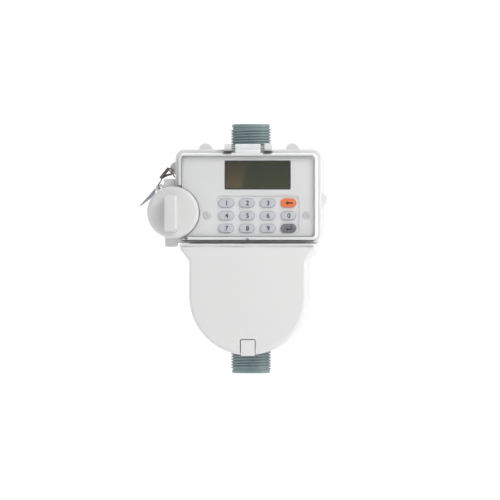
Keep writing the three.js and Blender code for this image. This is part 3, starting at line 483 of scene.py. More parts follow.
def back_cover():
    """Rear half of the casing: one shell over the upper box and the lower round part."""
    def body(by, back, rim):
        upper = prism(inset(CASE, by), SPLIT_Y - 4, back, [(ALL_FOUR, CASE_CORNER - by * 0.8)], rim=rim)
        lower = lower_prism(by, SPLIT_Y - 4, back, rim=rim)
        bridge = block(-LID_HIGH.x + by + rim, LID_HIGH.x - by - rim, SPLIT_Y - 4, back - 0.02,
                       LID_HIGH.z - 3 - by, CASE_BOTTOM_Z + 3 + by)
        return combine(upper, joins=[lower, bridge])
    hollow = body(WALL, BACK_HIGH.y - WALL, 0.0)
    front_half = block(-200, 200, SPLIT_Y, -60, -50, 250)
    pockets = [rod_y(3.4, BACK_HIGH.y + 1, BACK_HIGH.y - 1.2, x, z) for x, z in BACK_SCREWS]
    shell = combine(body(0.0, BACK_HIGH.y, 2.6), cuts=[
        hollow, front_half, pipe_space(CASE_TOP_Z - 2 * WALL, CASE_TOP_Z + 2), pipe_space(0, ROUND_Z - 25),
        battery_space(BACK_HIGH.y + 2, -1, TUBE_R + SEAT), *pockets])
    piece(shell, "back_cover_shell", "meter_body", WHITE_ABS, ["back_cover"])
    for number, (x, z) in enumerate(BACK_SCREWS):
        screw(f"back_screw_{number + 1}", x, z, BACK_HIGH.y - 1.1, 1, 2.9)


LUG_R = 4.25
LUG_BACK_Y = -14.0
LUG_FRONT_Y = -30.0
COVER_EARS = ((-15.5, -10.9), (10.9, 15.5))
BACK_SCREWS = [(-27, 138), (36, 138), (36, 98), (-26, 62), (26, 62)]


SCREW_LOBES = 3


def screw(name, x, z, seat_y, facing, head_r, replaces=(), look=SCREW_STEEL):
    """A pan head with a three-lobed recess; facing is -1 towards the front and 1 towards the back."""
    rise = 1.1 if facing > 0 else 1.4
    head = turned([(0, 0), (head_r, 0), (head_r, rise * 0.5), (head_r * 0.93, rise * 0.82), (head_r * 0.75, rise),
                   (0, rise)], 48)
    cuts = []
    for lobe in range(SCREW_LOBES):
        slot = block(0, head_r * 0.62, 0.45, -0.45, rise - 0.8, rise + 1)
        cuts.append(place(slot, Matrix.Rotation(2 * math.pi * lobe / SCREW_LOBES + math.pi / 2, 4, 'Z')))
    made = combine(head, cuts=cuts)
    side = Matrix.Rotation(math.radians(-90 * facing), 4, 'X')
    piece(place(made, side, (x, seat_y, z)), name, "meter_body", look, replaces, fillet=0.08)


def lower_case():
    """Front half of the round lower casing, with its register opening and hinge ears."""
    shell = lower_prism(0.0, -SPLIT_Y, LOWER_FRONT_Y)
    hollow = lower_prism(WALL, 1, LOWER_FRONT_Y + 2)
    register_hole = rod_y(23 + FREE, 1, -60, 0, CHAMBER_AXIS.z, 96)
    ledge = block(-35.5, 35.5, LOWER_FRONT_Y + 1, LID_PIVOT.y + 3, LID_PIVOT.z - 2, LID_PIVOT.z + 2)
    joins = [ledge]
    for near, far in ((-26, -20), (20, 26)):
        joins.append(rod_x(2, near, far, LID_PIVOT.y, LID_PIVOT.z))
        joins.append(block(near + 0.01, far - 0.01, LID_PIVOT.y + 3.2, LID_PIVOT.y, LID_PIVOT.z - 1.99,
                           LID_PIVOT.z + 1.99))
    joins.append(block(-3, 3, LOWER_FRONT_Y + 1, LOWER_FRONT_Y - 1.4, LATCH_LOW.z + 3.4, LATCH_LOW.z + 8))
    hollowed = combine(shell, cuts=[hollow])
    made = combine(hollowed, joins=joins, cuts=[
        pipe_space(-5, 200), register_hole, rod_x(1.55, -40, 40, LID_PIVOT.y, LID_PIVOT.z)])
    piece(made, "lower_case_shell", "meter_body", WHITE_ABS, ["lower_case"], fillet=0.25)


def lower_lid():
    """The smooth lid over the register, with soft front edges, hinge ears and a notch for the latch tongue."""
    outer = lower_prism(0.0, LID_HIGH.y, LID_LOW.y, rim=2.5, rim_steps=8)
    hollow = lower_prism(LID_WALL, LID_HIGH.y + 1, LID_LOW.y + LID_WALL)
    top_slot = block(-36.5, 36.5, LID_HIGH.y + 1, LID_PIVOT.y - 1.4, LID_PIVOT.z - 4, LID_HIGH.z + 1)
    pockets = [block(near - FREE, far + FREE, LID_HIGH.y + 1, LID_LOW.y + LID_WALL, LID_PIVOT.z - 3, LID_HIGH.z + 1)
               for near, far in ((-26, -20), (20, 26))]
    shell = combine(outer, cuts=[hollow, top_slot, *pockets])
    ears = []
    for near, far in ((-33, -27), (27, 33)):
        ears.append(rod_x(2, near, far, LID_PIVOT.y, LID_PIVOT.z))
        ears.append(block(near + 0.01, far - 0.01, LID_PIVOT.y, LID_LOW.y + LID_WALL - 0.2, LID_PIVOT.z - 1.99,
                          LID_PIVOT.z + 1.99))
    half = LATCH_HIGH.x + FREE
    notch = prism(rectangle(-half, half, -5, LATCH_HIGH.z + FREE), LID_HIGH.y + 1, LID_LOW.y - 1, [((2, 3), 1.2)])
    made = combine(shell, joins=ears, cuts=[rod_x(1.55, -40, 40, LID_PIVOT.y, LID_PIVOT.z), notch])
    piece(made, "lower_lid_shell", "lower_lid", WHITE_ABS, ["lower_lid"], fillet=0.22)


def lid_latch():
    half = LATCH_HIGH.x
    face = prism(rectangle(-half, half, LATCH_LOW.z, LATCH_HIGH.z), LID_LOW.y + 1.8, LID_LOW.y,
                 [((2, 3), 0.9), ((0, 1), 0.6)], rim=0.5, rim_steps=4)
    arm = block(-half + 0.5, half - 0.5, LID_LOW.y + 1, LATCH_HIGH.y, LATCH_LOW.z + 0.4, LATCH_LOW.z + 2.6)
    piece(combine(face, joins=[arm]), "lid_latch_tongue", "lid_latch", WHITE_ABS, ["lid_latch"],
          fillet=0.2)


def electronics_case():
    """Front box of the casing: two compartments, fixing lugs on its edges and the flip cover's hinge ears."""
    corner = [(ALL_FOUR, CASE_CORNER)]
    inner = [(ALL_FOUR, CASE_CORNER - WALL)]
    outer = prism(rectangle(*CASE), -SPLIT_Y, CASE_FRONT_Y, corner, rim=0.8, rim_steps=3)
    rear = prism(inset(CASE, WALL), 1, DIVIDER_Y, inner)
    front = prism(inset(CASE, WALL), DIVIDER_Y - 1.6, CASE_FRONT_Y + 1.6, inner)
    mouth = prism(inset(COVER_RECT, 4.3), DIVIDER_Y - 1.6, CASE_FRONT_Y - 1, [(ALL_FOUR, 1.0)])
    joins = []
    for x, z in ((-28.65, CASE_TOP_Z - 0.15), (28.65, CASE_TOP_Z - 0.15), (CASE_HALF - 0.85, 114.95),
                 (0.35 - CASE_HALF, 135.5)):
        joins.append(combine(rod_y(LUG_R, LUG_BACK_Y, LUG_FRONT_Y, x, z, 48), cuts=[
            prism(inset(CASE, WALL - 0.02), 0, -60, inner)]))
    joins.append(block(-CASE_HALF - 7.2, 0.5 - CASE_HALF, LUG_BACK_Y, LUG_FRONT_Y, LID_HIGH.z - 2.2, 91.0, 1.5, 6))
    joins.append(block(-CASE_HALF, CASE_CORNER - CASE_HALF, LUG_BACK_Y - 0.1, LUG_FRONT_Y + 0.1,
                       CASE_BOTTOM_Z + 0.01, CASE_BOTTOM_Z + WALL))
    for x0, x1 in COVER_EARS:
        joins.append(rod_x(2.45, x0, x1, COVER_PIVOT.y, COVER_PIVOT.z))
        joins.append(block(x0 + 0.01, x1 - 0.01, CASE_FRONT_Y + 6, COVER_PIVOT.y, CASE_TOP_Z - 1,
                           COVER_PIVOT.z + 1.7))
    shell = combine(outer, cuts=[rear, front, mouth])
    for low, high in (cad("face_screw_left"), cad("face_screw_right")):
        x, z = (low.x + high.x) / 2, (low.z + high.z) / 2
        joins.append(rod_y(3.4, DIVIDER_Y - 1, CASE_FRONT_Y, x, z))
    holes = [rod_y(1.7, DIVIDER_Y - 1, CASE_FRONT_Y - 2, (low.x + high.x) / 2, (low.z + high.z) / 2)
             for low, high in (cad("face_screw_left"), cad("face_screw_right"))]
    under_ears = [block(x0 - 0.6, x1 + 0.6, CASE_FRONT_Y + 5, CASE_FRONT_Y - 1, COVER_RECT[3] - 0.2,
                        COVER_RECT[3] + 1.1) for x0, x1 in COVER_EARS]
    drip_groove = block(-43.6, 43.2, CASE_FRONT_Y + 6, CASE_FRONT_Y - 1, CASE_BOTTOM_Z + 1.2, CASE_BOTTOM_Z + 1.7)
    made = combine(shell, joins=joins, cuts=[
        pipe_space(50, 200), battery_space(5, CASE_FRONT_Y - 3, TUBE_R + SEAT), drip_groove, *under_ears,
        rod_x(1.55, -18, 18, COVER_PIVOT.y, COVER_PIVOT.z), *holes])
    piece(made, "electronics_case_shell", "meter_body", WHITE_ABS, ["electronics_case"])


COVER_RECT = (COVER_LOW.x, COVER_HIGH.x, 88.2, 145.5)


def cap_space(y0, y1):
    return battery_space(y0, y1, CAP_R + CAP_GAP)


def flip_cover():
    """Clear cover: a shallow tray with rounded rims, cut round the battery cap, hung from a strap at the top."""
    skirt_y = CASE_FRONT_Y - 1
    outer = prism(rectangle(*COVER_RECT), skirt_y, COVER_LOW.y, [(ALL_FOUR, COVER_CORNER)], rim=2.6, rim_steps=6)
    hollow = prism(inset(COVER_RECT, WALL), skirt_y + 1, COVER_LOW.y + WALL, [(ALL_FOUR, COVER_CORNER - 1.8)])
    half = 8.3
    bar = rod_x(2.0, -half, half, COVER_PIVOT.y, COVER_PIVOT.z)
    strap = block(-half + 0.01, half - 0.01, COVER_PIVOT.y, COVER_PIVOT.y - 1.99, COVER_RECT[3] - 1, COVER_PIVOT.z)
    top = COVER_RECT[3]
    tabs = [block(x0 - 0.9, x1 + 0.4, COVER_LOW.y + 2.5, COVER_LOW.y + 0.5, top - 2.4, top - 0.1, 0.5)
            for x0, x1 in COVER_EARS]
    bead = prism(rectangle(-half, half, top - 1.2, top + 2.0), COVER_PIVOT.y - 1.9, COVER_LOW.y + 1.5,
                 [(ALL_FOUR, 1.5)], rim=0.6, rim_steps=3)
    lip = block(-0.9, 0.9, COVER_LOW.y + 2, COVER_LOW.y + 0.2, COVER_RECT[2] - 0.35, COVER_RECT[2] + 1, 0.3)
    boss = rod_y(1.4, COVER_LOW.y + 3, COVER_LOW.y + 0.3, -40.6, 89.7)
    made = combine(combine(outer, cuts=[hollow, cap_space(skirt_y + 1, COVER_LOW.y - 1)]),
                   joins=[bar, strap, bead, lip, boss, *tabs],
                   cuts=[rod_x(1.55, -18, 18, COVER_PIVOT.y, COVER_PIVOT.z),
                         rod_y(0.55, COVER_LOW.y + 2, COVER_LOW.y - 1, -40.6, 89.7, 24)])
    # Faces that don't face the front, and the strap, take the rim finish with its painted glow.
    for face in made.faces:
        face.normal_update()
        spot = face.calc_center_median()
        on_strap = abs(spot.x) < half + 0.1 and top - 1.2 < spot.z
        face.material_index = 0 if abs(face.normal.y) > 0.97 and not on_strap else 1
    piece(made, "flip_cover_clear", "flip_cover", CLEAR, ["flip_cover"], fillet=0.2,
          looks=[CLEAR_RIM_PAINTED_GLOW])


def stadium(x, z, length, height, grow=0.0):
    """The outline of a key: a rectangle whose ends a full rounding turns into half circles."""
    half, rise = length / 2 + grow, height / 2 + grow
    return rectangle(x - half, x + half, z - rise, z + rise), rise


KEY_NAMES = [node for node in frame["nodes"] if node.startswith("key_")]


def key_place(name):
    low, high = cad(name)
    return (low.x + high.x) / 2, (low.z + high.z) / 2, low.y


KEY_LENGTH = 10.0
KEY_HEIGHT = 5.6


def front_face():
    """White face plate with its rim, window, sunk keypad field, key holes and screw pockets."""
    face_rect = (FACE_LOW.x, FACE_HIGH.x, FACE_LOW.z, FACE_HIGH.z)
    plate = prism(rectangle(*face_rect), FACE_HIGH.y, FACE_LOW.y, [(ALL_FOUR, 2.4)], rim=1.0, rim_steps=5)
    plate_back = FACE_LOW.y + PLATE
    brim = prism(inset(COVER_RECT, WALL + 0.12), FACE_LOW.y + 1.2, FACE_LOW.y + 0.45,
                 [(ALL_FOUR, COVER_CORNER - 1.9)])
    cuts = [prism(inset(face_rect, 1.2), FACE_HIGH.y + 1, plate_back, [(ALL_FOUR, 0.6)]),
            prism(rectangle(*WINDOW), plate_back + 2, FACE_LOW.y - 1, [(ALL_FOUR, 0.8)]),
            prism(rectangle(*KEYPAD), FACE_LOW.y + KEY_RECESS, FACE_LOW.y - 1, [(ALL_FOUR, 2.6)], steps=10)]
    for name in KEY_NAMES:
        x, z, _ = key_place(name)
        outline, rise = stadium(x, z, KEY_LENGTH, KEY_HEIGHT, 0.14)
        cuts.append(prism(outline, plate_back + 1, FACE_LOW.y - 1, [(ALL_FOUR, rise * 0.998)], steps=10))
    for node in ("face_screw_left", "face_screw_right"):
        low, high = cad(node)
        x, z = (low.x + high.x) / 2, (low.z + high.z) / 2
        cuts.append(rod_y(2.56, FACE_LOW.y + 1.6, FACE_LOW.y - 1, x, z))
        cuts.append(rod_y(1.7, plate_back + 1, FACE_LOW.y, x, z))
    cuts.append(battery_space(FACE_HIGH.y + 1, FACE_LOW.y - 1, CAP_R + 0.25))
    made = combine(plate, joins=[brim], cuts=cuts)
    piece(made, "front_face_plate", "meter_body", FACE_ABS_LIGHTENED, ["front_face"], fillet=0.18)


# ---- Keys ----

LEGENDS = {"key_back": "arrow", "key_enter": "return"}
CROWN = 0.55  # rise of a key's crown above its edge


def key_cap(name, look):
    """A rubber key: an oval stem with a crowned top and a flange behind the plate."""
    x, z, front = key_place(name)
    back = FACE_LOW.y + PLATE + SEAT
    outline, rise = stadium(x, z, KEY_LENGTH, KEY_HEIGHT)
    bm = prism(outline, back, front + CROWN, [(ALL_FOUR, rise * 0.998)], steps=10)
    bmesh.ops.remove_doubles(bm, verts=bm.verts[:], dist=0.02)
    drawn_in = 0.0
    for depth, lift in ((0.12, 0.14), (0.2, 0.12), (0.35, 0.11), (0.55, 0.08), (0.7, 0.06), (0.7, 0.04)):
        top = min(bm.faces, key=lambda f: f.calc_center_median().y)
        raised = bmesh.ops.extrude_discrete_faces(bm, faces=[top])["faces"][0]
        was_half, was_rise = KEY_LENGTH / 2 - drawn_in, KEY_HEIGHT / 2 - drawn_in
        drawn_in += depth
        for v in raised.verts:
            v.co.x = x + (v.co.x - x) * (KEY_LENGTH / 2 - drawn_in) / was_half
            v.co.z = z + (v.co.z - z) * (KEY_HEIGHT / 2 - drawn_in) / was_rise
            v.co.y -= lift
    outline, rise = stadium(x, z, KEY_LENGTH, KEY_HEIGHT, 0.7)
    flange = prism(outline, back + 0.8, back, [(ALL_FOUR, rise * 0.998)], steps=10)
    made = combine(bm, joins=[flange])
    piece(made, name + "_cap", name, look, [name], fillet=0, crease=50)
    return x, z, front


def glyph(text, size):
    """A character as a flat mesh in X-Z, centred on the origin and facing the front."""
    curve = bpy.data.curves.new("glyph", 'FONT')
    curve.body = text
    curve.size = size
    curve.align_x = 'CENTER'
    curve.align_y = 'CENTER'
    curve.offset = 0.09
    holder = bpy.data.objects.new("glyph", curve)
    bpy.context.scene.collection.objects.link(holder)
    graph = bpy.context.evaluated_depsgraph_get()
    graph.update()
    bm = bmesh.new()
    bm.from_mesh(holder.evaluated_get(graph).to_mesh())
    bpy.data.objects.remove(holder)
    bpy.data.curves.remove(curve)
    xs = [v.co.x for v in bm.verts]
    ys = [v.co.y for v in bm.verts]
    bmesh.ops.translate(bm, verts=bm.verts[:], vec=(-(min(xs) + max(xs)) / 2, -(min(ys) + max(ys)) / 2, 0))
    return place(bm, ALONG_Y)


def flat_shape(points):
    bm = bmesh.new()
    bm.faces.new([bm.verts.new((x, 0, z)) for x, z in points])
    return bm


def arrow_shape():
    """Arrow pointing left, with a stub tail."""
    return flat_shape([(-2.3, 0), (-0.5, 1.35), (-0.5, 0.45), (2.5, 0.45), (2.5, -0.45), (-0.5, -0.45),
                       (-0.5, -1.35)])


def return_shape():
    """Return sign: down on the right, then left into an arrow head."""
    return flat_shape([(-2.1, -0.75), (-0.8, 0.25), (-0.8, -0.45), (1.15, -0.45), (1.15, 1.6), (1.8, 1.6),
                       (1.8, -1.05), (-0.8, -1.05), (-0.8, -1.75)])


def legend(name, place_at):
    """Ink on a key: a thin raised print that follows the crown."""
    x, z, front = place_at
    kind = LEGENDS.get(name)
    if kind:
        shape = {"arrow": arrow_shape, "return": return_shape}[kind]()
    else:
        shape = glyph(name[-1], 4.3)
    shape.normal_update()
    bmesh.ops.triangulate(shape, faces=shape.faces[:], ngon_method='EAR_CLIP')
    bmesh.ops.subdivide_edges(shape, edges=shape.edges[:], cuts=1)
    for v in shape.verts:
        off = (abs(v.co.z) / (KEY_HEIGHT / 2)) ** 2
        v.co.y = 0.22 * off - 0.1
    grown = bmesh.ops.extrude_face_region(shape, geom=shape.faces[:])
    moved = [item for item in grown["geom"] if isinstance(item, bmesh.types.BMVert)]
    bmesh.ops.translate(shape, verts=moved, vec=(0, 0.1, 0))
    look = INK_BLACK if kind else INK
    piece(place(shape, at=(x + 0.4, front, z)), name + "_legend", name, look, fillet=0)


def keys():
    looks = {"key_back": (KEY_ORANGE, "key_orange"), "key_enter": (KEY_GREY, "key_grey")}
    for name in KEY_NAMES:
        look, slot = looks.get(name, (KEY_PALE_LIGHTENED, "key_pale"))
        legend(name, key_cap(name, look))


# ---- Display ----


def display():
    """Lens with a black printed border round the olive film."""
    x0, x1, z0, z1 = WINDOW
    front = LENS_LOW.y
    lens = prism(rectangle(x0 + SEAT, x1 - SEAT, z0 + SEAT, z1 - SEAT), LENS_HIGH.y - 0.5, front, [(ALL_FOUR, 1.0)],
                 rim=0.2, rim_steps=3)
    flange = prism(rectangle(LENS_LOW.x, LENS_HIGH.x, LENS_LOW.z, LENS_HIGH.z), LENS_HIGH.y, LENS_HIGH.y - 1.0,
                   [(ALL_FOUR, 0.8)])
    glass = min(lens.faces, key=lambda f: f.calc_center_median().y)
    bmesh.ops.inset_region(lens, faces=[glass], thickness=0.55, depth=0.0)
    glass.material_index = 1
    made = as_joined([lens, flange])
    piece(made, "lcd_lens_glass", "meter_body", LCD_BORDER, ["lcd_lens"], fillet=0, looks=[LCD_FILM])


# ---- Battery bay ----


def battery_tube():
    back, shoulder = cad("battery_tube")[1].y, CASE_FRONT_Y - 0.4
    bore = CAP_R - 3.5
    neck = TUBE_R - NECK_STEP
    neck_front = CAP_SEAL_LOW.y - SEAT - CAP_RUN
    thread = []
    for turn in range(2):
        y = neck_front + 0.9 + turn * 1.5
        thread += [(neck - 0.35, y - 0.45), (neck, y), (neck - 0.35, y + 0.45)]
    profile = [(0, back), (TUBE_R - 1.6, back), (TUBE_R - 0.5, back - 0.5), (TUBE_R, back - 1.6),
               (TUBE_R, shoulder), (neck, shoulder), (neck, neck_front + 3.2), *reversed(thread),
               (neck - 0.5, neck_front), (bore, neck_front), (bore, back - 2), (0, back - 2)]
    shell = turned_y(profile, CAP_AXIS.x, CAP_AXIS.z, 96)
    hole_x, hole_z = EAR_X, EAR_Z
    ear = block(CAP_AXIS.x - 6.7, -CASE_HALF - SEAT, -30.6, -35.4, CAP_AXIS.z + bore + 1,
                CAP_AXIS.z + TUBE_R + 6.7, 0.8)
    lobe = rod_y(2.9, -31, -34.6, hole_x, hole_z)
    web = block(hole_x - 1.2, hole_x + 3.7, -31.01, -34.59, hole_z - 4.3, hole_z)
    rib = block(CAP_AXIS.x - 0.6, CAP_AXIS.x + 0.6, back - 4, -28, CAP_AXIS.z - TUBE_R, CAP_AXIS.z - TUBE_R + 1)
    made = combine(shell, joins=[ear, lobe, web, rib], cuts=[
        rod_y(bore, back - 2, neck_front - 2, CAP_AXIS.x, CAP_AXIS.z, 96), rod_y(1.0, -30, -36, hole_x, hole_z)])
    piece(made, "battery_tube_shell", "meter_body", WHITE_ABS, ["battery_tube"], fillet=0.2)


CAP_NOTCHES = 24


def battery_cap():
    """Round screw cap with a soft rim, a notched skirt and a thick grip bar that slopes at its lower end."""
    disc_front = -46.5
    skirt = TUBE_R - NECK_STEP + FREE
    floor_y = CAP_SEAL_LOW.y - SEAT - CAP_RUN - FREE
    back = CAP_HIGH.y
    profile = [(0, disc_front), (CAP_R - 1.9, disc_front), (CAP_R - 1.6, disc_front + 0.12),
               (CAP_R - 0.45, disc_front + 1.1), (CAP_R - 0.12, disc_front + 1.6), (CAP_R, disc_front + 2.3),
               (CAP_R, back), (skirt, back), (skirt, floor_y), (0, floor_y)]
    disc = turned_y(profile, CAP_AXIS.x, CAP_AXIS.z, 128)
    x, z = CAP_AXIS.x - 1, CAP_AXIS.z - 0.9
    half_w, half_l = 4.1, 12.25
    grip = prism(rectangle(x - half_w, x + half_w, z - half_l, z + half_l), disc_front + 0.4, CAP_LOW.y,
                 [((2, 3), 1.8), ((0, 1), 1.2)], rim=1.3, rim_steps=5)
    for v in grip.verts:
        if v.co.z < z - half_l + 2.6 and v.co.y < disc_front - 2:
            lean = (z - half_l + 2.6 - v.co.z) / 2.6
            v.co.z += lean * 2.2 * (disc_front - v.co.y) / (disc_front - CAP_LOW.y)
    cuts = []
    for notch in range(CAP_NOTCHES):
        angle = 2 * math.pi * notch / CAP_NOTCHES
        cuts.append(rod_y(0.55, back + 1, disc_front + 2.4, CAP_AXIS.x + (CAP_R + 0.25) * math.cos(angle),
                          CAP_AXIS.z + (CAP_R + 0.25) * math.sin(angle), 16))
    piece(combine(disc, joins=[grip], cuts=cuts), "battery_cap_shell", "battery_cap", CAP_ABS,
          ["battery_cap"], fillet=0.2)


# ---- Pipe body ----


def spigot_profile():
    """Outside of a threaded end up to its neck: chamfered plain lip and the thread's root cylinder."""
    root = THREAD_R - THREAD_DEPTH
    top = LIP + THREAD_TURNS * PITCH
    return [(root - 0.45, 0), (root + 0.1, 0.12), (root + 0.5, 0.7), (root + 0.5, LIP - 0.5), (root, LIP),
            (root, top)]


def helix(start_z, turns):
    """One open thread ridge, a rounded V section swept up a right-hand helix that fades in and out."""
    root = THREAD_R - THREAD_DEPTH
    bm = bmesh.new()
    section = [(root - 0.3, -0.76), (root + 0.1, -0.68), (THREAD_R - 0.3, -0.52), (THREAD_R, -0.33),
               (THREAD_R, 0.33), (THREAD_R - 0.3, 0.52), (root + 0.1, 0.68), (root - 0.3, 0.76)]
    verts = [bm.verts.new((r, 0, start_z + h)) for r, h in section]
    face = bm.faces.new(verts)
    edges = face.edges[:]
    steps_per_turn = 64
    steps = int(turns * steps_per_turn)
    bmesh.ops.spin(bm, geom=[face] + edges + verts, cent=(0, 0, 0), axis=(0, 0, 1), angle=turns * 2 * math.pi,
                   dvec=(0, 0, turns * PITCH / steps), steps=steps)
    fade = PITCH * 0.6
    for v in bm.verts:
        r = math.hypot(v.co.x, v.co.y)
        ends = min(v.co.z - start_z + PITCH / 2, start_z + turns * PITCH + PITCH / 2 - v.co.z) / fade
        keep = max(0.0, min(1.0, ends))
        if r > root:
            new_r = root - 0.05 + (r - root + 0.05) * keep
            v.co.x *= new_r / r
            v.co.y *= new_r / r
    bmesh.ops.recalc_face_normals(bm, faces=bm.faces[:])
    return bm


def flow_body():
    """The whole nylon body: threaded ends, chamber cup and valve housing, bored through."""
    length = BODY_HIGH.z
    low = spigot_profile()
    high = [(r, length - z) for r, z in reversed(low)]
    valve_r, valve_low, valve_top = 13.6, 99.8, 125.2
    outline = [(0, 0), *low, (NECK_R, low[-1][1] + 1), (NECK_R, valve_low - 6), (valve_r, valve_low - 3),
               (valve_r, valve_top), (NECK_R, valve_top + 3), (NECK_R, high[0][1] - 1), *high, (0, length)]
    pipe = turned(outline, 96)
    chamber = rod_y(29, 12, -16, 0, CHAMBER_AXIS.z, 96)
    stem_z = pivot("valve_turn").z
    boss = rod_y(6.6, 0, -15.6, 0, stem_z)
    turns = THREAD_TURNS - 0.6
    threads = [helix(LIP + 0.45, turns), helix(length - LIP - 0.45 - turns * PITCH, turns)]
    cuts = [rod_y(26, 9, -17, 0, CHAMBER_AXIS.z, 96), rod_z(7.5, -1, stem_z), rod_z(10.4, valve_low, length + 1),
            rod_y(2.9, 0, -17, 0, stem_z), rod_y(4.6, -13.4, -17, 0, stem_z)]
    body = combine(pipe, joins=[chamber, boss], cuts=cuts)
    made = as_joined([body, *threads])
    piece(made, "flow_body_moulding", "meter_body", GREY_NYLON, ["flow_body"], fillet=0.15, crease=28)


def as_joined(parts):
    """Several closed shells of one moulding in one mesh; each thread ridge sinks into its root cylinder."""
    whole = bmesh.new()
    for part in parts:
        mesh = bpy.data.meshes.new("part")
        part.to_mesh(mesh)
        part.free()
        whole.from_mesh(mesh)
        bpy.data.meshes.remove(mesh)
    return whole


# ---- Seal ----


def tube_along(points, radius, name):
    """A round wire through points, in millimetres, as a bmesh."""
    curve = bpy.data.curves.new(name, 'CURVE')
    curve.dimensions = '3D'
    curve.bevel_depth = radius
    curve.bevel_resolution = 3
    curve.use_fill_caps = True
    curve.resolution_u = 12
    spline = curve.splines.new('NURBS')
    spline.points.add(len(points) - 1)
    for point, co in zip(spline.points, points):
        point.co = (*co, 1.0)
    spline.use_endpoint_u = True
    spline.order_u = 4
    holder = bpy.data.objects.new(name, curve)
    bpy.context.scene.collection.objects.link(holder)
    graph = bpy.context.evaluated_depsgraph_get()
    graph.update()
    bm = bmesh.new()
    bm.from_mesh(holder.evaluated_get(graph).to_mesh())
    bpy.data.objects.remove(holder)
    bpy.data.curves.remove(curve)
    bmesh.ops.remove_doubles(bm, verts=bm.verts[:], dist=1e-4)
    return bm


def seal():
    """Seal wire: two strands twisted together, one end hooked into the case lug, the other through the ear."""
    hole = Vector((EAR_X, 0, EAR_Z))

    def from_hole(route):
        return [hole + Vector(p) for p in route]

    bundles = [(from_hole([(5.4, -33, 13.0), (2.9, -34.2, 10.0), (0.4, -33.4, 6.6)]), 0.62, 0.58, 4.0),
               (from_hole([(7.2, -32, 9.2), (3.9, -33.4, 8.9), (0.7, -33.2, 6.4)]), 0.4, 0.42, 3.5)]
    wires = []
    for core, spread, radius, turns in bundles:
        along = (core[2] - core[0]).normalized()
        side = along.cross(Vector((0, 1, 0))).normalized()
        for phase in (0, math.pi):
            route = []
            for step in range(41):
                t = step / 40
                centre = (1 - t) ** 2 * core[0] + 2 * t * (1 - t) * core[1] + t * t * core[2]
                turn = phase + t * 2 * math.pi * turns
                route.append(centre + spread * (math.cos(turn) * side + math.sin(turn) * Vector((0, 1, 0))))
            wires.append(tube_along(route, radius, "strand"))
    routes = [[(0.6, -33.4, 7.0), (1.2, -34.6, 4.8), (-1.4, -35.6, 3.2), (-0.9, -36.0, 0.4), (0, -35.0, 0),
               (0, -31, 0), (0, -29.8, 0), (-2.2, -29.2, -0.7)],
              [(5.2, -33.4, 12.4), (6.0, -34.0, 11.4), (7.6, -33.4, 10.2), (9.0, -31.8, 8.2), (9.4, -30.4, 7.4)],
              [(5.4, -33.0, 12.9), (6.4, -33.4, 13.6), (7.6, -32.4, 12.6), (8.2, -30.6, 11.4)]]
    wires += [tube_along(from_hole(route), 0.38, "single") for route in routes]
    piece(as_joined(wires), "seal_wire_strands", "meter_body", WIRE_STEEL, ["seal_wire"], fillet=0)
    low, high = cad("seal_tag")
    x, z = hole.x, hole.z
    tag = prism([(x - 13.7, z - 12), (x - 5.9, z - 5.8), (x - 4.1, z - 3.4), (x - 3.3, z + 0.1),
                 (x - 13.3, z - 11.1)], high.y, low.y)
    piece(tag, "seal_tag_plate", "meter_body", TAG, ["seal_tag"], fillet=0.12)


# ---- Register, seen when the lid is up ----


def register_print():
    """Dial print: a ring of ticks round the register's edge and a ring round the pointer."""
    front = cad("register_dial")[0].y - 0.02
    marks = []
    for tick in range(60):
        half, inner = (0.16, 18.0) if tick % 5 == 0 else (0.09, 18.9)
        mark = block(-half, half, front + 0.06, front, inner, 20.2)
        marks.append(place(mark, Matrix.Rotation(2 * math.pi * tick / 60, 4, 'Y'), (0, 0, CHAMBER_AXIS.z)))
    piece(as_joined(marks), "dial_ticks", "meter_body", INK, fillet=0)
    hub = pivot("pointer_spin")
    rings = []
    for tick in range(10):
        mark = block(-0.14, 0.14, front + 0.06, front, 6.1, 7.1)
        rings.append(place(mark, Matrix.Rotation(2 * math.pi * tick / 10, 4, 'Y'), (hub.x, 0, hub.z)))
    piece(as_joined(rings), "pointer_ticks", "meter_body", INK, fillet=0)


CAD_LOOKS = {
    "steel": STEEL, "black_rubber": RUBBER, "grey_nylon": GREY_NYLON, "dark_nylon": DARK_NYLON, "acetal": ACETAL,
    "ptfe": PTFE, "blue_plastic": BLUE_POM, "red_plastic": RED_ABS, "white_abs": WHITE_ABS, "dial_card": CARD,
    "magnet": MAGNET, "brass": BRASS, "motor_can": STEEL, "circuit_board": BOARD, "lcd_frame": LCD_FRAME,
    "grey_silicone": SILICONE_GREY, "battery_wrap": BATTERY_FILM, "seal_wire": WIRE_STEEL, "register_glass": CLEAR,
    "screw_steel": SCREW_STEEL,
}


def dress_cad():
    """Gives every CAD node that stays its slot's finish."""
    for row in frame["record"]["subparts"]:
        look = SILICONE_PALE if row["node"] == "battery_cap_seal" else CAD_LOOKS.get(row["material_slot"])
        if look:
            made = frame["nodes"][row["node"]]
            made.data.materials.clear()
            made.data.materials.append(look)


# ---- Camera, stage and light ----

VIEW_AZIMUTH = math.radians(2.9)
VIEW_DISTANCE = 5.0
FRAME_WIDTH = 0.3315  # metres across the picture at the pipe's axis
SENSOR = 36.0


def camera():
    data = bpy.data.cameras.new("camera")
    data.sensor_width = SENSOR
    data.lens = SENSOR * VIEW_DISTANCE / FRAME_WIDTH
    data.clip_end = 30
    made = bpy.data.objects.new("camera", data)
    target = Vector((-0.0007, 0, 0.0816))
    back = Vector((math.sin(VIEW_AZIMUTH), -math.cos(VIEW_AZIMUTH), 0))
    made.location = target + back * VIEW_DISTANCE
    made.rotation_euler = (-back).to_track_quat('-Z', 'Y').to_euler()
    bpy.context.scene.collection.objects.link(made)
    bpy.context.scene.camera = made


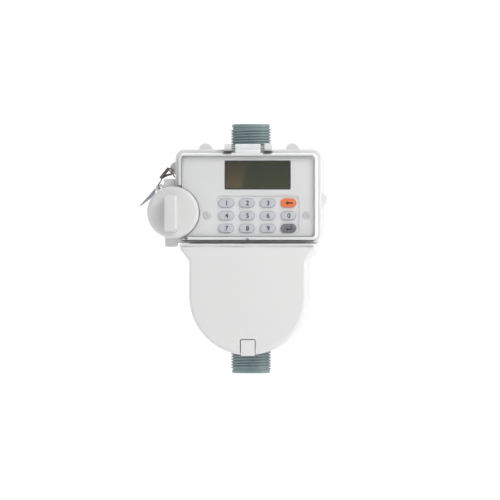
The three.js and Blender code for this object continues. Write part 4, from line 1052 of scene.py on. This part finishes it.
def area_light(name, place_at, target, size, power):
    data = bpy.data.lights.new(name, 'AREA')
    data.shape = 'RECTANGLE'
    data.size, data.size_y = size
    data.energy = power
    made = bpy.data.objects.new(name, data)
    made.location = place_at
    made.rotation_euler = (Vector(target) - Vector(place_at)).to_track_quat('-Z', 'Y').to_euler()
    bpy.context.scene.collection.objects.link(made)


def stage():
    """A pale seamless sweep: floor, curve and wall in one sheet."""
    bm = bmesh.new()
    depth, height, bend, width = 6.4, 6.0, 1.5, 16.0  # the wall is past the camera's circle
    floor_z = -0.16
    profile = [(-6.0, 0.0), (depth - bend, 0.0)]
    profile += [(depth - bend + bend * math.sin(a), bend - bend * math.cos(a))
                for a in [math.pi / 2 * s / 16 for s in range(1, 17)]]
    profile.append((depth, height))
    verts = [bm.verts.new((-width / 2, y, floor_z + z)) for y, z in profile]
    edges = [bm.edges.new(pair) for pair in zip(verts, verts[1:])]
    grown = bmesh.ops.extrude_edge_only(bm, edges=edges)
    moved = [item for item in grown["geom"] if isinstance(item, bmesh.types.BMVert)]
    bmesh.ops.translate(bm, verts=moved, vec=(width, 0, 0))
    bmesh.ops.recalc_face_normals(bm, faces=bm.faces[:])
    sweep = as_object(bm, "paper_sweep")
    sweep.data.shade_smooth()
    paper = moulded("white background paper", "#FBFBFB", "#F8F8F8", 0.8, patch_mm=300, grain=0.0)
    sweep.data.materials.append(paper)


def light():
    world = bpy.data.worlds.new("soft studio")
    world.use_nodes = True
    world.node_tree.nodes["Background"].inputs[0].default_value = (1, 1, 1, 1)
    world.node_tree.nodes["Background"].inputs[1].default_value = 0.4
    bpy.context.scene.world = world
    centre = (0, -0.03, 0.09)
    area_light("key_softbox", (0.62, -0.8, 0.85), centre, (0.7, 0.7), 8.6)
    area_light("fill_softbox", (-1.0, -1.3, 0.1), centre, (0.8, 1.2), 2.5)
    for side, power in ((-1, 3), (1, 6)):
        area_light("side_strip", (side * 1.1, -0.2, -0.15), centre, (0.5, 1.0), power)
    area_light("background_wash", (0, 1.6, 3.4), (0, 5.4, 0.2), (5.0, 2.0), 200)
    bpy.context.scene.view_settings.view_transform = 'Standard'


camera()
stage()
light()
dress_cad()
back_cover()
lower_case()
lower_lid()
lid_latch()
electronics_case()
front_face()
flip_cover()
keys()
display()
for side in ("left", "right"):
    node = "face_screw_" + side
    low, high = cad(node)
    screw(node + "_head", (low.x + high.x) / 2, (low.z + high.z) / 2, FACE_LOW.y + 1.3, -1, 2.5, [node],
          look=SCREW_PAINT)
battery_tube()
battery_cap()
flow_body()
seal()
register_print()
